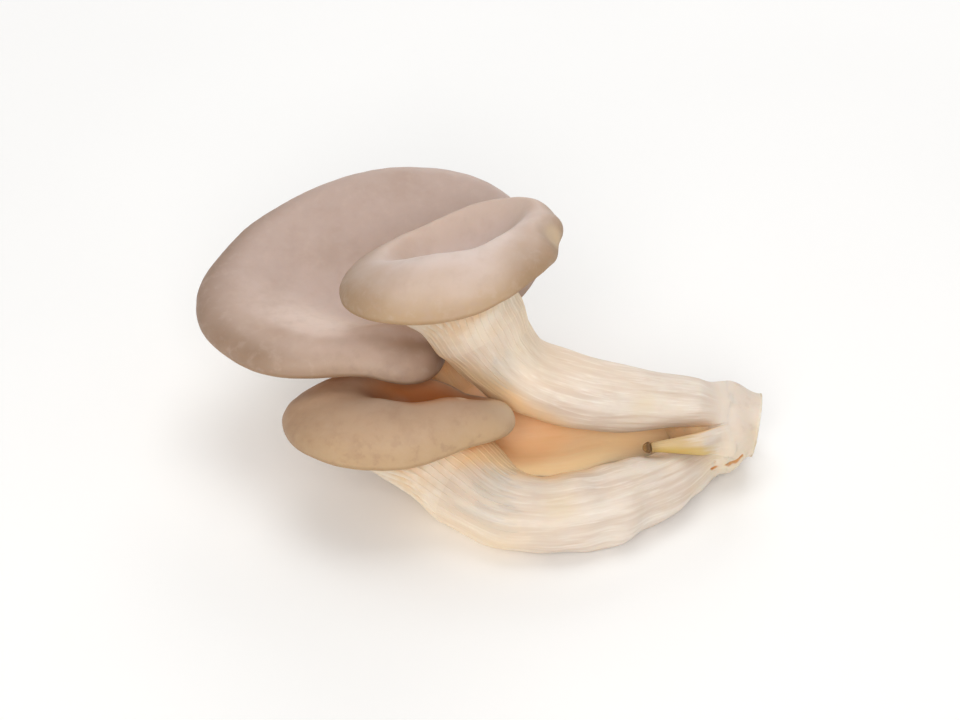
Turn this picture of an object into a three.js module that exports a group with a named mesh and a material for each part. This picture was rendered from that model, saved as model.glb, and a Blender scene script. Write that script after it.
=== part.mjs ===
// Oyster mushroom cluster: three caps on three curved stems that grow out of one cut butt, with an
// aborted pin mushroom beside it, lying on a table the way a picked cluster settles.
// Millimetres. +X runs from the caps to the cut end, +Y away from the near side, +Z up.
import * as THREE from "three";

const TAU = 2 * Math.PI;

// ---------------------------------------------------------------- driving dimensions
const GAP = 0.3; // breathing space kept between neighbouring bodies
const CLEAR = 0.4; // the same between the gills and the flesh above them
const SKIN = 1.4; // how far the gill skin stands proud of the cap's root at the stem
const LIP_DEPTH = 0.8; // depth of the gills where they reach the margin
const CURL = 130; // degrees a rolled margin has turned under by the time the gills start
const PLATE = 1.1; // depth of the skin that joins the blades, gap included
const SHALLOW = 0.16; // gills are no deeper than this share of the rib they hang from
const BUTT_X = 57.9; // plane where the stems have grown together into the butt
const ARRIVAL = 8; // length over which a stem's end turns flat against the butt

// Each cap: hub = middle of its top. rim = evenly spaced directions, starting at +X and turning
// towards +Y, as [radius, height of the margin above the hub, how far the margin is rolled under,
// where the crest lies as a share of the radius, how far the margin hangs below the crest].
const UPPER_CAP = {
  name: "upper",
  blades: 22,
  hub: [-2, 26.5, 51.5],
  rise: 38,
  inroll: 22,
  lip: 1.3,
  root: 13,
  outOpen: 0.5,
  outRolled: 1.1,
  gillDepth: [2.2, 3],
  rim: [
    [20.5, 17, 0.45, 0.6, 4.2], [18.3, 17.5, 0.15, 0.84, 3], [16.3, 15.5, 0, 0.88, 1.6],
    [17, 12, 0, 0.88, 1.6], [19, 7.5, 0, 0.88, 1.6], [23.5, 3.5, 0.15, 0.84, 3],
    [29.5, 2, 0.45, 0.74, 5.9], [31.5, 5.5, 0.85, 0.62, 10.3], [28.5, 8.5, 1, 0.58, 11.5],
    [25.5, 11, 1, 0.57, 9.6], [22, 14.5, 1, 0.53, 7.2], [21.5, 16.5, 0.85, 0.52, 4.8],
  ],
};

const REAR_CAP = {
  name: "rear",
  blades: 26,
  hub: [-13, 46, 33],
  rise: 14,
  inroll: 18,
  lip: 1.5,
  root: 18,
  outOpen: 0.45,
  outRolled: 1.1,
  gillDepth: [3, 2.4],
  rim: [
    [24.5, 5, 0.3, 0.82, 3.5], [30.5, 8, 0.1, 0.85, 2.6], [33.5, 12.5, 0, 0.86, 2.2],
    [36, 15, 0, 0.86, 2.2], [37, 16.5, 0, 0.86, 2.2], [38, 17, 0, 0.86, 2.2],
    [40, 16, 0, 0.86, 2.2], [45, 12.5, 0, 0.86, 2.2], [50.5, 7, 0.15, 0.84, 2.8],
    [56, 2, 0.5, 0.79, 4.4], [50, 0, 0.9, 0.73, 6.1], [42, 0.5, 1, 0.72, 6.5],
    [28.5, 1.5, 1, 0.72, 6.5], [31, 0.5, 1, 0.72, 6.5], [22.8, -1.8, 0.85, 0.74, 5.9],
    [10.5, 1.2, 0.5, 0.79, 4.4], [14, 3, 0.4, 0.8, 3.9], [19, 4, 0.4, 0.8, 3.9],
  ],
};

const FRONT_CAP = {
  name: "front",
  blades: 20,
  hub: [-12, 17, 19.5],
  rise: 30,
  inroll: 22,
  lip: 1.3,
  root: 11,
  outOpen: 0.5,
  outRolled: 1.1,
  gillDepth: [2, 2.4],
  rim: [
    [18, 4.5, 0.25, 0.79, 4], [11.5, 4, 0, 0.85, 1.8], [11, 5.5, 0, 0.85, 1.8],
    [11, 6.5, 0, 0.85, 1.8], [13, 6, 0, 0.8, 2], [27, 5, 0.3, 0.6, 2.8],
    [35, 4, 0.7, 0.4, 6], [31, 5, 0.95, 0.42, 9.5], [24.5, 5.5, 1, 0.52, 11],
    [20, 6, 1, 0.6, 11], [17.5, 8, 0.85, 0.64, 9.6], [22, 7.5, 0.6, 0.7, 7.3],
  ],
};

// Each stem: stations from the butt to the cap as [x, y, z, half width, half depth].
const UPPER_STEM = [
  [57.6, 29, 18.8, 4.8, 4.8],
  [50, 28, 20, 5.8, 5.8],
  [40, 26.5, 21.6, 7.1, 7.1],
  [28, 25, 24, 8.3, 8.3],
  [18, 24.5, 27, 8.7, 8.6],
  [9.5, 25, 31, 8.8, 8.8],
  [3.5, 25.8, 37, 9.6, 9.6],
  [1, 26.5, 43, 11.5, 11],
];

const REAR_STEM = [
  [57.6, 38.3, 8, 5.3, 5.3],
  [50, 37.8, 8, 6.5, 6.5],
  [40, 36.5, 8.1, 7.8, 7.9],
  [28, 35, 8.6, 8.8, 8.9],
  [15, 31.5, 9.4, 9.6, 9.7],
  [2.3, 31.3, 9.4, 9.8, 9.9],
  [-6.5, 35.3, 10.3, 11.3, 11.3],
  [-14.9, 43.8, 18, 11.8, 11.8],
];

const FRONT_STEM = [
  [57.6, 26, 7, 5.4, 5.4],
  [50, 20.6, 7.4, 6, 6],
  [40, 11.5, 7.9, 7.4, 7.4],
  [28, 4, 8.6, 8.7, 8.7],
  [15, 0.3, 8.9, 9, 9],
  [5, 2.4, 9.2, 9.5, 9.5],
  [-3, 8.6, 11.5, 10.9, 10.8],
];

// The aborted pin: a finger of flesh lying along the near stem, with a button of a cap at its tip.
const PIN_STALK = [
  [57.6, 20, 14.6, 3, 3],
  [53, 18, 15.6, 2.8, 2.8],
  [47, 15.8, 16.7, 2.3, 2.3],
  [42, 14.6, 17.2, 1.8, 1.8],
  [39.4, 14.2, 17.2, 1.4, 1.4],
];
const PIN_BUTTON = [[0.5, 1.3], [1, 1.1], [1.6, 0.7], [1.75, 0.25], [1.45, 0]]; // radius, height

// The butt: outline where the stems meet (radii about its middle, from +Y towards +Z), narrowing
// to the oval that was cut through. The cut leans, so its top reaches further out.
const BUTT_MIDDLE = [31.5, 10.8];
const BUTT_OUTLINE = [
  12, 10, 8.5, 10.5, 13.3, 12.5, 9, 12.5, 13.5, 13, 11.8, 10, 8.8, 9.4, 10.8, 12,
];
const CUT_MIDDLE = [31, 11.1];
const CUT_HALF = [7, 8];
const CUT_X = 64.6;
const CUT_LEAN = [0.08, 0.12];

const COLOURS = {
  upperCap: { color: 0xc8ab99, roughness: 0.55 },
  rearCap: { color: 0xbb9c8a, roughness: 0.55 },
  frontCap: { color: 0xb08c6e, roughness: 0.55 },
  gills: { color: 0xe6d3bb, roughness: 0.7 },
  stem: { color: 0xe8dacb, roughness: 0.65 },
  butt: { color: 0xf0e8de, roughness: 0.75 },
  pin: { color: 0xd6bb8c, roughness: 0.65 },
  pinButton: { color: 0x8a6a4a, roughness: 0.6 },
};

// ---------------------------------------------------------------- small geometry helpers
const mix = (a, b, t) => a + (b - a) * t;
const radians = THREE.MathUtils.degToRad;
const vector = (x, y, z) => new THREE.Vector3(x, y, z);
const steps = (count) => Array.from({ length: count + 1 }, (unused, i) => i / count);
const directions = (count) => Array.from({ length: count }, (unused, i) => (TAU * i) / count);

// A closed smooth curve pulled by evenly spaced values: uniform cubic B-spline.
function aroundRing(values, angle) {
  const n = values.length;
  const x = (((angle / TAU) * n) % n + n) % n;
  const i = Math.floor(x);
  const f = x - i;
  const weights = [
    (1 - f) ** 3 / 6,
    (3 * f ** 3 - 6 * f ** 2 + 4) / 6,
    (-3 * f ** 3 + 3 * f ** 2 + 3 * f + 1) / 6,
    f ** 3 / 6,
  ];
  return weights.reduce((sum, w, k) => sum + w * values[(i - 1 + k + n) % n], 0);
}

// A smooth curve through stations, u 0 at the first and 1 at the last: Catmull-Rom.
function alongStations(stations, column, u) {
  const values = stations.map((row) => row[column]);
  const last = values.length - 1;
  const p = [2 * values[0] - values[1], ...values, 2 * values[last] - values[last - 1]];
  const x = Math.min(Math.max(u * last, 0), last - 1e-9);
  const i = Math.floor(x);
  const f = x - i;
  const [a, b, c, d] = [p[i], p[i + 1], p[i + 2], p[i + 3]];
  return 0.5 * (2 * b + (c - a) * f + (2 * a - 5 * b + 4 * c - d) * f * f
    + (3 * b - a - 3 * c + d) * f ** 3);
}

function bezier(p0, p1, p2, p3, s) {
  const r = 1 - s;
  return r ** 3 * p0 + 3 * r * r * s * p1 + 3 * r * s * s * p2 + s ** 3 * p3;
}

function bezierPoint(p0, p1, p2, p3, s) {
  return vector(
    bezier(p0.x, p1.x, p2.x, p3.x, s),
    bezier(p0.y, p1.y, p2.y, p3.y, s),
    bezier(p0.z, p1.z, p2.z, p3.z, s),
  );
}

// One closed body from rings of points that all have the same number of corners.
// ends "closed" fans both end rings to their middles, "joined" runs the last ring into the first.
function bodyFromRings(rings, ends) {
  const n = rings[0].length;
  const points = rings.flat();
  const faces = [];
  const ringCount = rings.length;
  const strips = ends === "joined" ? ringCount : ringCount - 1;
  for (let k = 0; k < strips; k += 1) {
    const here = k * n;
    const next = ((k + 1) % ringCount) * n;
    for (let i = 0; i < n; i += 1) {
      const j = (i + 1) % n;
      faces.push([here + i, here + j, next + j], [here + i, next + j, next + i]);
    }
  }
  if (ends === "closed") {
    [0, ringCount - 1].forEach((k) => {
      const middle = vector(0, 0, 0);
      rings[k].forEach((p) => middle.addScaledVector(p, 1 / n));
      points.push(middle);
      const m = points.length - 1;
      for (let i = 0; i < n; i += 1) {
        const j = (i + 1) % n;
        faces.push(k === 0 ? [m, k * n + j, k * n + i] : [m, k * n + i, k * n + j]);
      }
    });
  }
  return outwardGeometry(points, faces);
}

// Turns the faces outward if the enclosed volume comes out negative.
function outwardGeometry(points, faces) {
  const volume = faces.reduce((sum, [a, b, c]) => {
    const cross = points[b].clone().cross(points[c]);
    return sum + points[a].dot(cross) / 6;
  }, 0);
  const order = volume < 0 ? faces.map(([a, b, c]) => [a, c, b]) : faces;
  const geometry = new THREE.BufferGeometry();
  const positions = points.flatMap((p) => [p.x, p.y, p.z]);
  geometry.setAttribute("position", new THREE.Float32BufferAttribute(positions, 3));
  geometry.setIndex(order.flat());
  geometry.computeVertexNormals();
  return geometry;
}

function namedMesh(name, geometry, { color, roughness }) {
  const material = new THREE.MeshStandardMaterial({ color, roughness, metalness: 0 });
  const mesh = new THREE.Mesh(geometry, material);
  mesh.name = name;
  return mesh;
}

// ---------------------------------------------------------------- stems
function stationPoint(stations, u) {
  return vector(
    alongStations(stations, 0, u),
    alongStations(stations, 1, u),
    alongStations(stations, 2, u),
  );
}

// Middle, heading and two cross directions at every u. The first cross direction is +X at the cap
// and is carried down the stem without twisting, so a gill's angle is also its fibre's angle.
function stemFrames(stations, us) {
  const small = 1e-4;
  const frames = us.map((u) => {
    const ahead = stationPoint(stations, Math.min(u + small, 1));
    const behind = stationPoint(stations, Math.max(u - small, 0));
    return { u, middle: stationPoint(stations, u), heading: ahead.sub(behind).normalize() };
  });
  let side = vector(1, 0, 0);
  [...frames].reverse().forEach((frame) => {
    side = side.clone().addScaledVector(frame.heading, -side.dot(frame.heading)).normalize();
    frame.side = side;
    frame.across = frame.heading.clone().cross(side);
  });
  return frames;
}

// An oval ring about a frame. Near the butt it is turned flat against the butt's plane, and a
// stem that would sink into the table is pressed flat on it.
function stemRing(stations, frame, angles) {
  const halfWidth = alongStations(stations, 3, frame.u);
  const halfDepth = alongStations(stations, 4, frame.u);
  const flat = Math.max(0, 1 - (stations[0][0] - frame.middle.x) / ARRIVAL);
  return angles.map((angle) => {
    const p = frame.middle.clone()
      .addScaledVector(frame.side, halfWidth * Math.cos(angle))
      .addScaledVector(frame.across, halfDepth * Math.sin(angle));
    const overshoot = (p.x - frame.middle.x) / frame.heading.x;
    p.addScaledVector(frame.heading, -overshoot * Math.min(flat, 1));
    p.z = Math.max(p.z, 0);
    return p;
  });
}

function stemBody(stations, ringCount, cornerCount) {
  const frames = stemFrames(stations, steps(ringCount));
  const angles = directions(cornerCount);
  return bodyFromRings(frames.map((frame) => stemRing(stations, frame, angles)), "closed");
}

// ---------------------------------------------------------------- caps
// Everything the radial profile of a cap needs in one direction.
function capProfile(cap, angle) {
  const column = (k) => aroundRing(cap.rim.map((row) => row[k]), angle);
  const [radius, margin, roll, crest, drop] = [0, 1, 2, 3, 4].map(column);
  return {
    angle,
    radius,
    margin,
    roll,
    drop,
    crestRadius: crest * radius,
    crestHeight: margin + drop,
    crestSlope: radians(mix(cap.rise, 0, roll)),
    inward: radians(mix(5, cap.inroll, roll)),
  };
}

// Top of the cap, t 0 at the hub, 0.5 on the crest, 1 at the margin, as [radius, height].
function capTop(p, t) {
  if (t <= 0.5) {
    const s = t / 0.5;
    const handle = 0.42 * p.crestRadius;
    const r = bezier(0, handle, p.crestRadius - handle * Math.cos(p.crestSlope), p.crestRadius, s);
    const z = bezier(0, 0, p.crestHeight - handle * Math.sin(p.crestSlope), p.crestHeight, s);
    return [r, z];
  }
  const s = (t - 0.5) / 0.5;
  const out = 0.55 * (p.radius - p.crestRadius);
  const down = 0.55 * p.drop;
  const r = bezier(
    p.crestRadius,
    p.crestRadius + out * Math.cos(p.crestSlope),
    p.radius + down * Math.sin(p.inward),
    p.radius,
    s,
  );
  const z = bezier(
    p.crestHeight,
    p.crestHeight + out * Math.sin(p.crestSlope),
    p.margin + down * Math.cos(p.inward),
    p.margin,
    s,
  );
  return [r, z];
}

// The rounded lip that turns from the margin to the underside, q 0 to 1. Gives the point and the
// heading it leaves in.
function capLip(cap, p, q) {
  const turned = radians(mix(84 - cap.rise, CURL, p.roll)) * q;
  const inwardNormal = [-Math.cos(p.inward), Math.sin(p.inward)];
  const downward = [-Math.sin(p.inward), -Math.cos(p.inward)];
  const along = (k) => -inwardNormal[k] * Math.cos(turned) + downward[k] * Math.sin(turned);
  const heading = (k) => inwardNormal[k] * Math.sin(turned) + downward[k] * Math.cos(turned);
  return {
    point: [
      p.radius + cap.lip * (inwardNormal[0] + along(0)),
      p.margin + cap.lip * (inwardNormal[1] + along(1)),
    ],
    heading: [heading(0), heading(1)],
  };
}

function capPoint(cap, angle, [r, z]) {
  return vector(cap.hub[0] + r * Math.cos(angle), cap.hub[1] + r * Math.sin(angle), cap.hub[2] + z);
}

// The rib of flesh a gill hangs from, from the lip (s 0) down to the top of the stem (s 1), as the
// four corners of a Bezier curve.
function ribCorners(cap, stations, topFrame, p) {
  const lip = capLip(cap, p, 1);
  const top = stations[stations.length - 1];
  const start = capPoint(cap, p.angle, lip.point);
  const end = topFrame.middle.clone()
    .addScaledVector(topFrame.side, (top[3] - SKIN) * Math.cos(p.angle))
    .addScaledVector(topFrame.across, (top[4] - SKIN) * Math.sin(p.angle))
    .addScaledVector(topFrame.heading, GAP);
  const span = start.distanceTo(end);
  const reach = mix(cap.outOpen * span, Math.min(cap.outRolled * p.drop, 0.7 * span), p.roll);
  const [r, z] = lip.heading;
  const leave = vector(r * Math.cos(p.angle), r * Math.sin(p.angle), z);
  const startHandle = start.clone().addScaledVector(leave, reach);
  const endHandle = end.clone().addScaledVector(topFrame.heading, Math.min(cap.root, 0.6 * span));
  return [start, startHandle, endHandle, end];
}

// Point on a rib and the direction that faces away from the flesh there.
function ribPlace([p0, p1, p2, p3], angle, s) {
  const slope = p1.clone().sub(p0).multiplyScalar((1 - s) ** 2)
    .addScaledVector(p2.clone().sub(p1), 2 * (1 - s) * s)
    .addScaledVector(p3.clone().sub(p2), s * s);
  const around = vector(-Math.sin(angle), Math.cos(angle), 0);
  return { point: bezierPoint(p0, p1, p2, p3, s), outward: slope.cross(around).normalize() };
}

// How deep the gills hang below the flesh at s along their rib.
function gillDepth(cap, corners, roll, s) {
  const most = Math.min(mix(...cap.gillDepth, roll), SHALLOW * corners[0].distanceTo(corners[3]));
  return mix(LIP_DEPTH, SKIN, s) + most * Math.sin(Math.PI * s ** 1.4);
}

const TOP_ROWS = [0.08, 0.2, 0.31, 0.41, 0.5, 0.6, 0.72, 0.86, 1];
const LIP_ROWS = [0.4, 0.75, 1];
const RIB_ROWS = [0.1, 0.23, 0.38, 0.54, 0.7, 0.86, 1];

function capRibs(cap, stations) {
  const topFrame = stemFrames(stations, steps(40)).pop();
  return directions(2 * cap.blades).map((angle) => {
    const profile = capProfile(cap, angle);
    return { ...profile, corners: ribCorners(cap, stations, topFrame, profile) };
  });
}

// The cap's flesh: hollowed top, rolled margin, lip, and the underside down to the stem's root.
function capBody(cap, stations) {
  const ribs = capRibs(cap, stations);
  const ring = (place) => ribs.map(place);
  const rings = [
    ...TOP_ROWS.map((t) => ring((p) => capPoint(cap, p.angle, capTop(p, t)))),
    ...LIP_ROWS.map((q) => ring((p) => capPoint(cap, p.angle, capLip(cap, p, q).point))),
    ...RIB_ROWS.map((s) => ring((p) => ribPlace(p.corners, p.angle, s).point)),
  ];
  return bodyFromRings(rings, "closed");
}

// The gills: one skin under the flesh that stands out into a blade in every second direction.
function gillBody(cap, stations) {
  const ribs = capRibs(cap, stations);
  const below = (p, s, depth) => {
    const { point, outward } = ribPlace(p.corners, p.angle, s);
    return point.addScaledVector(outward, depth);
  };
  const inner = RIB_ROWS.map((s) => ribs.map((p) => below(p, s, CLEAR)));
  const outer = RIB_ROWS.map((s) => ribs.map((p, i) => {
    const full = gillDepth(cap, p.corners, p.roll, s);
    return below(p, s, i % 2 ? full : Math.min(full, mix(PLATE, SKIN, s)));
  }));
  return bodyFromRings([...inner, ...outer.reverse()], "joined");
}

// ---------------------------------------------------------------- butt and pin
function buttBody() {
  const angles = directions(32);
  const ring = (v) => angles.map((angle) => {
    const k = v * v * (3 - 2 * v);
    const outline = aroundRing(BUTT_OUTLINE, angle);
    const [cos, sin] = [Math.cos(angle), Math.sin(angle)];
    const y = mix(BUTT_MIDDLE[0] + outline * cos, CUT_MIDDLE[0] + CUT_HALF[0] * cos, k);
    const z = mix(BUTT_MIDDLE[1] + outline * sin, CUT_MIDDLE[1] + CUT_HALF[1] * sin, k);
    const cut = CUT_X + CUT_LEAN[0] * (y - CUT_MIDDLE[0]) + CUT_LEAN[1] * (z - CUT_MIDDLE[1]);
    return vector(mix(BUTT_X, cut, v), y, Math.max(z, 0));
  });
  return bodyFromRings(steps(5).map(ring), "closed");
}

function pinButtonBody() {
  const tip = stemFrames(PIN_STALK, steps(20)).pop();
  const angles = directions(16);
  const rings = PIN_BUTTON.map(([r, height]) => angles.map((angle) => (
    tip.middle.clone()
      .addScaledVector(tip.heading, GAP + height)
      .addScaledVector(tip.side, r * Math.cos(angle))
      .addScaledVector(tip.across, r * Math.sin(angle))
  )));
  return bodyFromRings(rings, "closed");
}

// ---------------------------------------------------------------- the cluster
const cluster = new THREE.Group();
cluster.name = "oyster_mushroom_cluster";
[
  [UPPER_CAP, UPPER_STEM, COLOURS.upperCap],
  [REAR_CAP, REAR_STEM, COLOURS.rearCap],
  [FRONT_CAP, FRONT_STEM, COLOURS.frontCap],
].forEach(([cap, stations, colour]) => {
  cluster.add(namedMesh(`cap_${cap.name}`, capBody(cap, stations), colour));
  cluster.add(namedMesh(`gills_${cap.name}`, gillBody(cap, stations), COLOURS.gills));
  cluster.add(namedMesh(`stem_${cap.name}`, stemBody(stations, 15, 24), COLOURS.stem));
});
cluster.add(namedMesh("butt", buttBody(), COLOURS.butt));
cluster.add(namedMesh("pin_stalk", stemBody(PIN_STALK, 8, 16), COLOURS.pin));
cluster.add(namedMesh("pin_button", pinButtonBody(), COLOURS.pinButton));

// The cluster stands on z = 0 with the middle of its bounding box on the origin.
const box = new THREE.Box3().setFromObject(cluster);
const middle = box.getCenter(vector(0, 0, 0));
cluster.position.set(-middle.x, -middle.y, -box.min.z);
cluster.updateMatrixWorld(true);

export default cluster;
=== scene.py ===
# %% [markdown]
# # Dressing an oyster mushroom cluster
# The object is a picked cluster of oyster mushrooms lying on a table. Three caps sit on three
# curved stems, the stems have grown together into one butt, and the butt was cut through.
# A stunted pin mushroom lies beside the front stem.
# The frame already holds plain bodies of the right size and place. This lesson replaces each of
# them with a fine surface of the same form, then gives every surface its flesh, skin and fibre.

import bpy
import numpy as np
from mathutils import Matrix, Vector


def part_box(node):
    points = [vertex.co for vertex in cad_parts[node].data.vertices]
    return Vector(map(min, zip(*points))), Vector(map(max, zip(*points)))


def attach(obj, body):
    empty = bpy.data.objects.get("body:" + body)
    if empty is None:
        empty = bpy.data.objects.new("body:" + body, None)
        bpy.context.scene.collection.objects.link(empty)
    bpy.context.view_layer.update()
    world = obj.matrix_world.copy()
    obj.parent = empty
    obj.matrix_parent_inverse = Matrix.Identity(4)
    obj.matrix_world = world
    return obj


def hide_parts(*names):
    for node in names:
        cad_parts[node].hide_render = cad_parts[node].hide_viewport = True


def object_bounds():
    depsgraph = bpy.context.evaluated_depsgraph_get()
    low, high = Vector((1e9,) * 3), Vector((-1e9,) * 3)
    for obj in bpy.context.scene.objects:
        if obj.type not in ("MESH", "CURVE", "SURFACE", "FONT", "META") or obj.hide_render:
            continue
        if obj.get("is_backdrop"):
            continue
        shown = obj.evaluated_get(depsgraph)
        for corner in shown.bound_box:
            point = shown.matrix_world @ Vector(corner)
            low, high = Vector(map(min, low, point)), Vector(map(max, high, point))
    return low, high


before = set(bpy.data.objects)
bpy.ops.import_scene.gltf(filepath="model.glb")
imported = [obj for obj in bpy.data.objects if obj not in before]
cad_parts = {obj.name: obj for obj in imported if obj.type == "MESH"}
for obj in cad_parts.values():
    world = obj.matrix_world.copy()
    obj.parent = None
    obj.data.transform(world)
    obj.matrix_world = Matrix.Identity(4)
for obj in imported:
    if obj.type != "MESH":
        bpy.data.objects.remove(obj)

cad_box = [list(corner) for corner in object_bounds()]
print("size in mm:", [round(1000 * (b - a), 1) for a, b in zip(*cad_box)])

# %% [markdown]
# ## Curves that a mushroom is made of
# A cap could be sculpted by hand or remeshed from blobs, but its form follows a few rules: a
# smooth rim, a hollow top, a rolled margin, an underside that sweeps down into the stem. Rules
# are kept best by formulas, so every surface here is a function of two parameters: the direction
# around the cap or stem, and how far along a profile. Three kinds of curve are enough.

# %% Closed curves, open curves and Bezier arcs
TAU = 2 * np.pi


def mix(a, b, t):
    """a at t 0, b at t 1, in a straight line between."""
    return a + (b - a) * t


def smooth(low, high, x):
    """0 below low, 1 above high, and an S curve 3t^2 - 2t^3 between."""
    t = np.clip((x - low) / (high - low), 0, 1)
    return t * t * (3 - 2 * t)


def around_ring(values, angle):
    """Uniform cubic B-spline: each evenly spaced value pulls the closed curve towards itself."""
    values = np.asarray(values, float)
    n = len(values)
    x = (angle / TAU * n) % n
    i = np.floor(x).astype(int)
    f = x - i
    weights = (
        (1 - f) ** 3 / 6,
        (3 * f**3 - 6 * f**2 + 4) / 6,
        (-3 * f**3 + 3 * f**2 + 3 * f + 1) / 6,
        f**3 / 6,
    )
    return sum(w * values[(i - 1 + k) % n] for k, w in enumerate(weights))


def along_stations(stations, column, u):
    """Catmull-Rom: passes through each station's value, u 0 at the first and 1 at the last."""
    v = np.asarray(stations, float)[:, column]
    last = len(v) - 1
    p = np.concatenate([[2 * v[0] - v[1]], v, [2 * v[last] - v[last - 1]]])
    x = np.clip(u * last, 0, last - 1e-9)
    i = np.floor(x).astype(int)
    f = x - i
    a, b, c, d = p[i], p[i + 1], p[i + 2], p[i + 3]
    return 0.5 * (
        2 * b + (c - a) * f + (2 * a - 5 * b + 4 * c - d) * f**2 + (3 * b - a - 3 * c + d) * f**3
    )


def bezier(p0, p1, p2, p3, s):
    """Cubic Bezier arc from p0 towards p1, arriving at p3 from p2."""
    r = 1 - s
    return r**3 * p0 + 3 * r * r * s * p1 + 3 * r * s * s * p2 + s**3 * p3


def unit(v):
    """Each vector divided by its own length."""
    return v / np.maximum(np.linalg.norm(v, axis=-1, keepdims=True), 1e-12)


print("half way round a ring of 1, 2, 3, 4:", around_ring([1, 2, 3, 4], np.pi))

# %% [markdown]
# ## The stems
# A stem is an oval carried along a curved path. Each row of numbers below is a station on that
# path: its place in millimetres and the oval's two half widths. The cross directions are
# carried along the path without twisting, because the gills above and the fibres below share
# the same directions. Where a stem would sink into the table it is pressed flat, as soft flesh is,
# and its low side spreads a little, so that it doesn't meet the table in a sharp corner.

# %% Stations of the three stems and the pin
UPPER_STEM = [
    [57.6, 29, 18.8, 4.8, 4.8],
    [50, 28, 20, 5.8, 5.8],
    [40, 26.5, 21.6, 7.1, 7.1],
    [28, 25, 24, 8.3, 8.3],
    [18, 24.5, 27, 8.7, 8.6],
    [9.5, 25, 31, 8.8, 8.8],
    [3.5, 25.8, 37, 9.6, 9.6],
    [-0.3, 26.5, 43, 11.5, 11],
]
REAR_STEM = [
    [57.6, 38.3, 8, 5.3, 5.3],
    [50, 37.8, 8, 6.5, 6.5],
    [40, 36.5, 8.1, 7.8, 7.9],
    [28, 35, 8.6, 8.8, 8.9],
    [15, 31.5, 9.4, 10, 10.2],
    [2.3, 31.3, 9.4, 10, 10.1],
    [-6.5, 35.3, 10.3, 11.3, 11.3],
    [-14.9, 43.8, 18, 11.8, 11.8],
]
FRONT_STEM = [
    [57.6, 26, 7, 5.4, 5.4],
    [50, 20.6, 7.4, 6, 6],
    [40, 11.5, 7.9, 7.4, 7.4],
    [28, 4, 8.6, 8.7, 8.7],
    [15, 0.3, 8.9, 9, 9],
    [5, 2.4, 9.2, 9.5, 9.5],
    [-3, 8.6, 11.5, 10.9, 10.8],
]
PIN_STALK = [
    [57.6, 20, 14.6, 4.0, 4.0],
    [53, 18, 15.6, 3.1, 3.1],
    [47, 15.8, 16.7, 2.2, 2.2],
    [42, 14.6, 17.2, 1.4, 1.4],
    [39.4, 14.2, 17.2, 1.1, 1.1],
]
ARRIVAL = 8  # length over which a stem's end turns flat against the butt
SETTLE = 0.45  # how far the low side of a stem that lies on the table has spread, 0 not at all


# %% An oval carried along a path
def path_frames(stations, count=241):
    """Middle, heading, side and across at count even steps: side starts as +X at the cap and is
    made square to the heading again at every step down, so it never twists."""
    u = np.linspace(0, 1, count)
    middle = np.stack([along_stations(stations, k, u) for k in range(3)], -1)
    small = 1e-4
    ahead, behind = np.clip(u + small, 0, 1), np.clip(u - small, 0, 1)
    step = [along_stations(stations, k, ahead) - along_stations(stations, k, behind) for k in range(3)]
    heading = unit(np.stack(step, -1))
    side = np.zeros_like(middle)
    carried = np.array([1.0, 0, 0])
    for k in range(count - 1, -1, -1):
        carried = unit(carried - (carried @ heading[k]) * heading[k])
        side[k] = carried
    length = np.concatenate([[0], np.cumsum(np.linalg.norm(np.diff(middle, axis=0), axis=1))])
    return {
        "u": u,
        "middle": middle,
        "heading": heading,
        "side": side,
        "across": np.cross(heading, side),
        "length": length,
    }


def spread_low(off, height, u):
    """By what share the off-middle steps grow sideways: the more, the more steeply a step points
    down, only on stems whose middle lies under 10 mm high, and not near the butt or the cap."""
    level = np.linalg.norm(off[..., :2], axis=-1) / np.maximum(np.linalg.norm(off, axis=-1), 1e-9)
    spread = np.clip(level, 0.02, 1) ** -SETTLE - 1
    spread = spread * (off[..., 2] < 0) * (1 - smooth(10, 13, height))
    return spread * (1 - smooth(0.5, 0.75, u)) * smooth(0, 0.08, u)


def stem_point(stations, frames, u, angle, proud=0.0):
    """Point on the stem: middle + (half width + proud) cos(angle) side + the same with sin and
    across. The low side spreads where it lies on the table, the end is sheared flat against the
    butt, and nothing goes below the table."""

    def at(name):
        """The path's value of this name at u, straight lines between its steps."""
        return np.stack([np.interp(u, frames["u"], frames[name][:, k]) for k in range(3)], -1)

    middle, heading = at("middle"), unit(at("heading"))
    wide = along_stations(stations, 3, u) + proud
    deep = along_stations(stations, 4, u) + proud
    off = (wide * np.cos(angle))[..., None] * at("side")
    off = off + (deep * np.sin(angle))[..., None] * at("across")
    off[..., :2] *= (1 + spread_low(off, middle[..., 2], u))[..., None]
    p = middle + off
    flat = np.clip(1 - (stations[0][0] - middle[..., 0]) / ARRIVAL, 0, 1)
    overshoot = (p[..., 0] - middle[..., 0]) / np.where(
        np.abs(heading[..., 0]) < 0.2, -0.2, heading[..., 0]
    )
    p = p - heading * (overshoot * flat)[..., None]
    p[..., 2] = np.maximum(p[..., 2], 0)
    return p


paths = {
    name: (stations, path_frames(stations))
    for name, stations in (
        ("upper", UPPER_STEM),
        ("rear", REAR_STEM),
        ("front", FRONT_STEM),
        ("pin", PIN_STALK),
    )
}
print("stem lengths in mm:", {k: round(float(f["length"][-1]), 1) for k, (s, f) in paths.items()})

# %% [markdown]
# ## The caps
# Seen from above a cap is a rim that wanders in and out, and up and down. In each direction the
# profile starts at the hub, climbs to a crest, rolls over it, drops to the margin, turns under
# round a lip, and sweeps down the underside into the stem. How far the margin is rolled under
# decides how far back the crest lies and how deep the drop is: the near margins are rolled, the
# far ones stand open.

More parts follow.
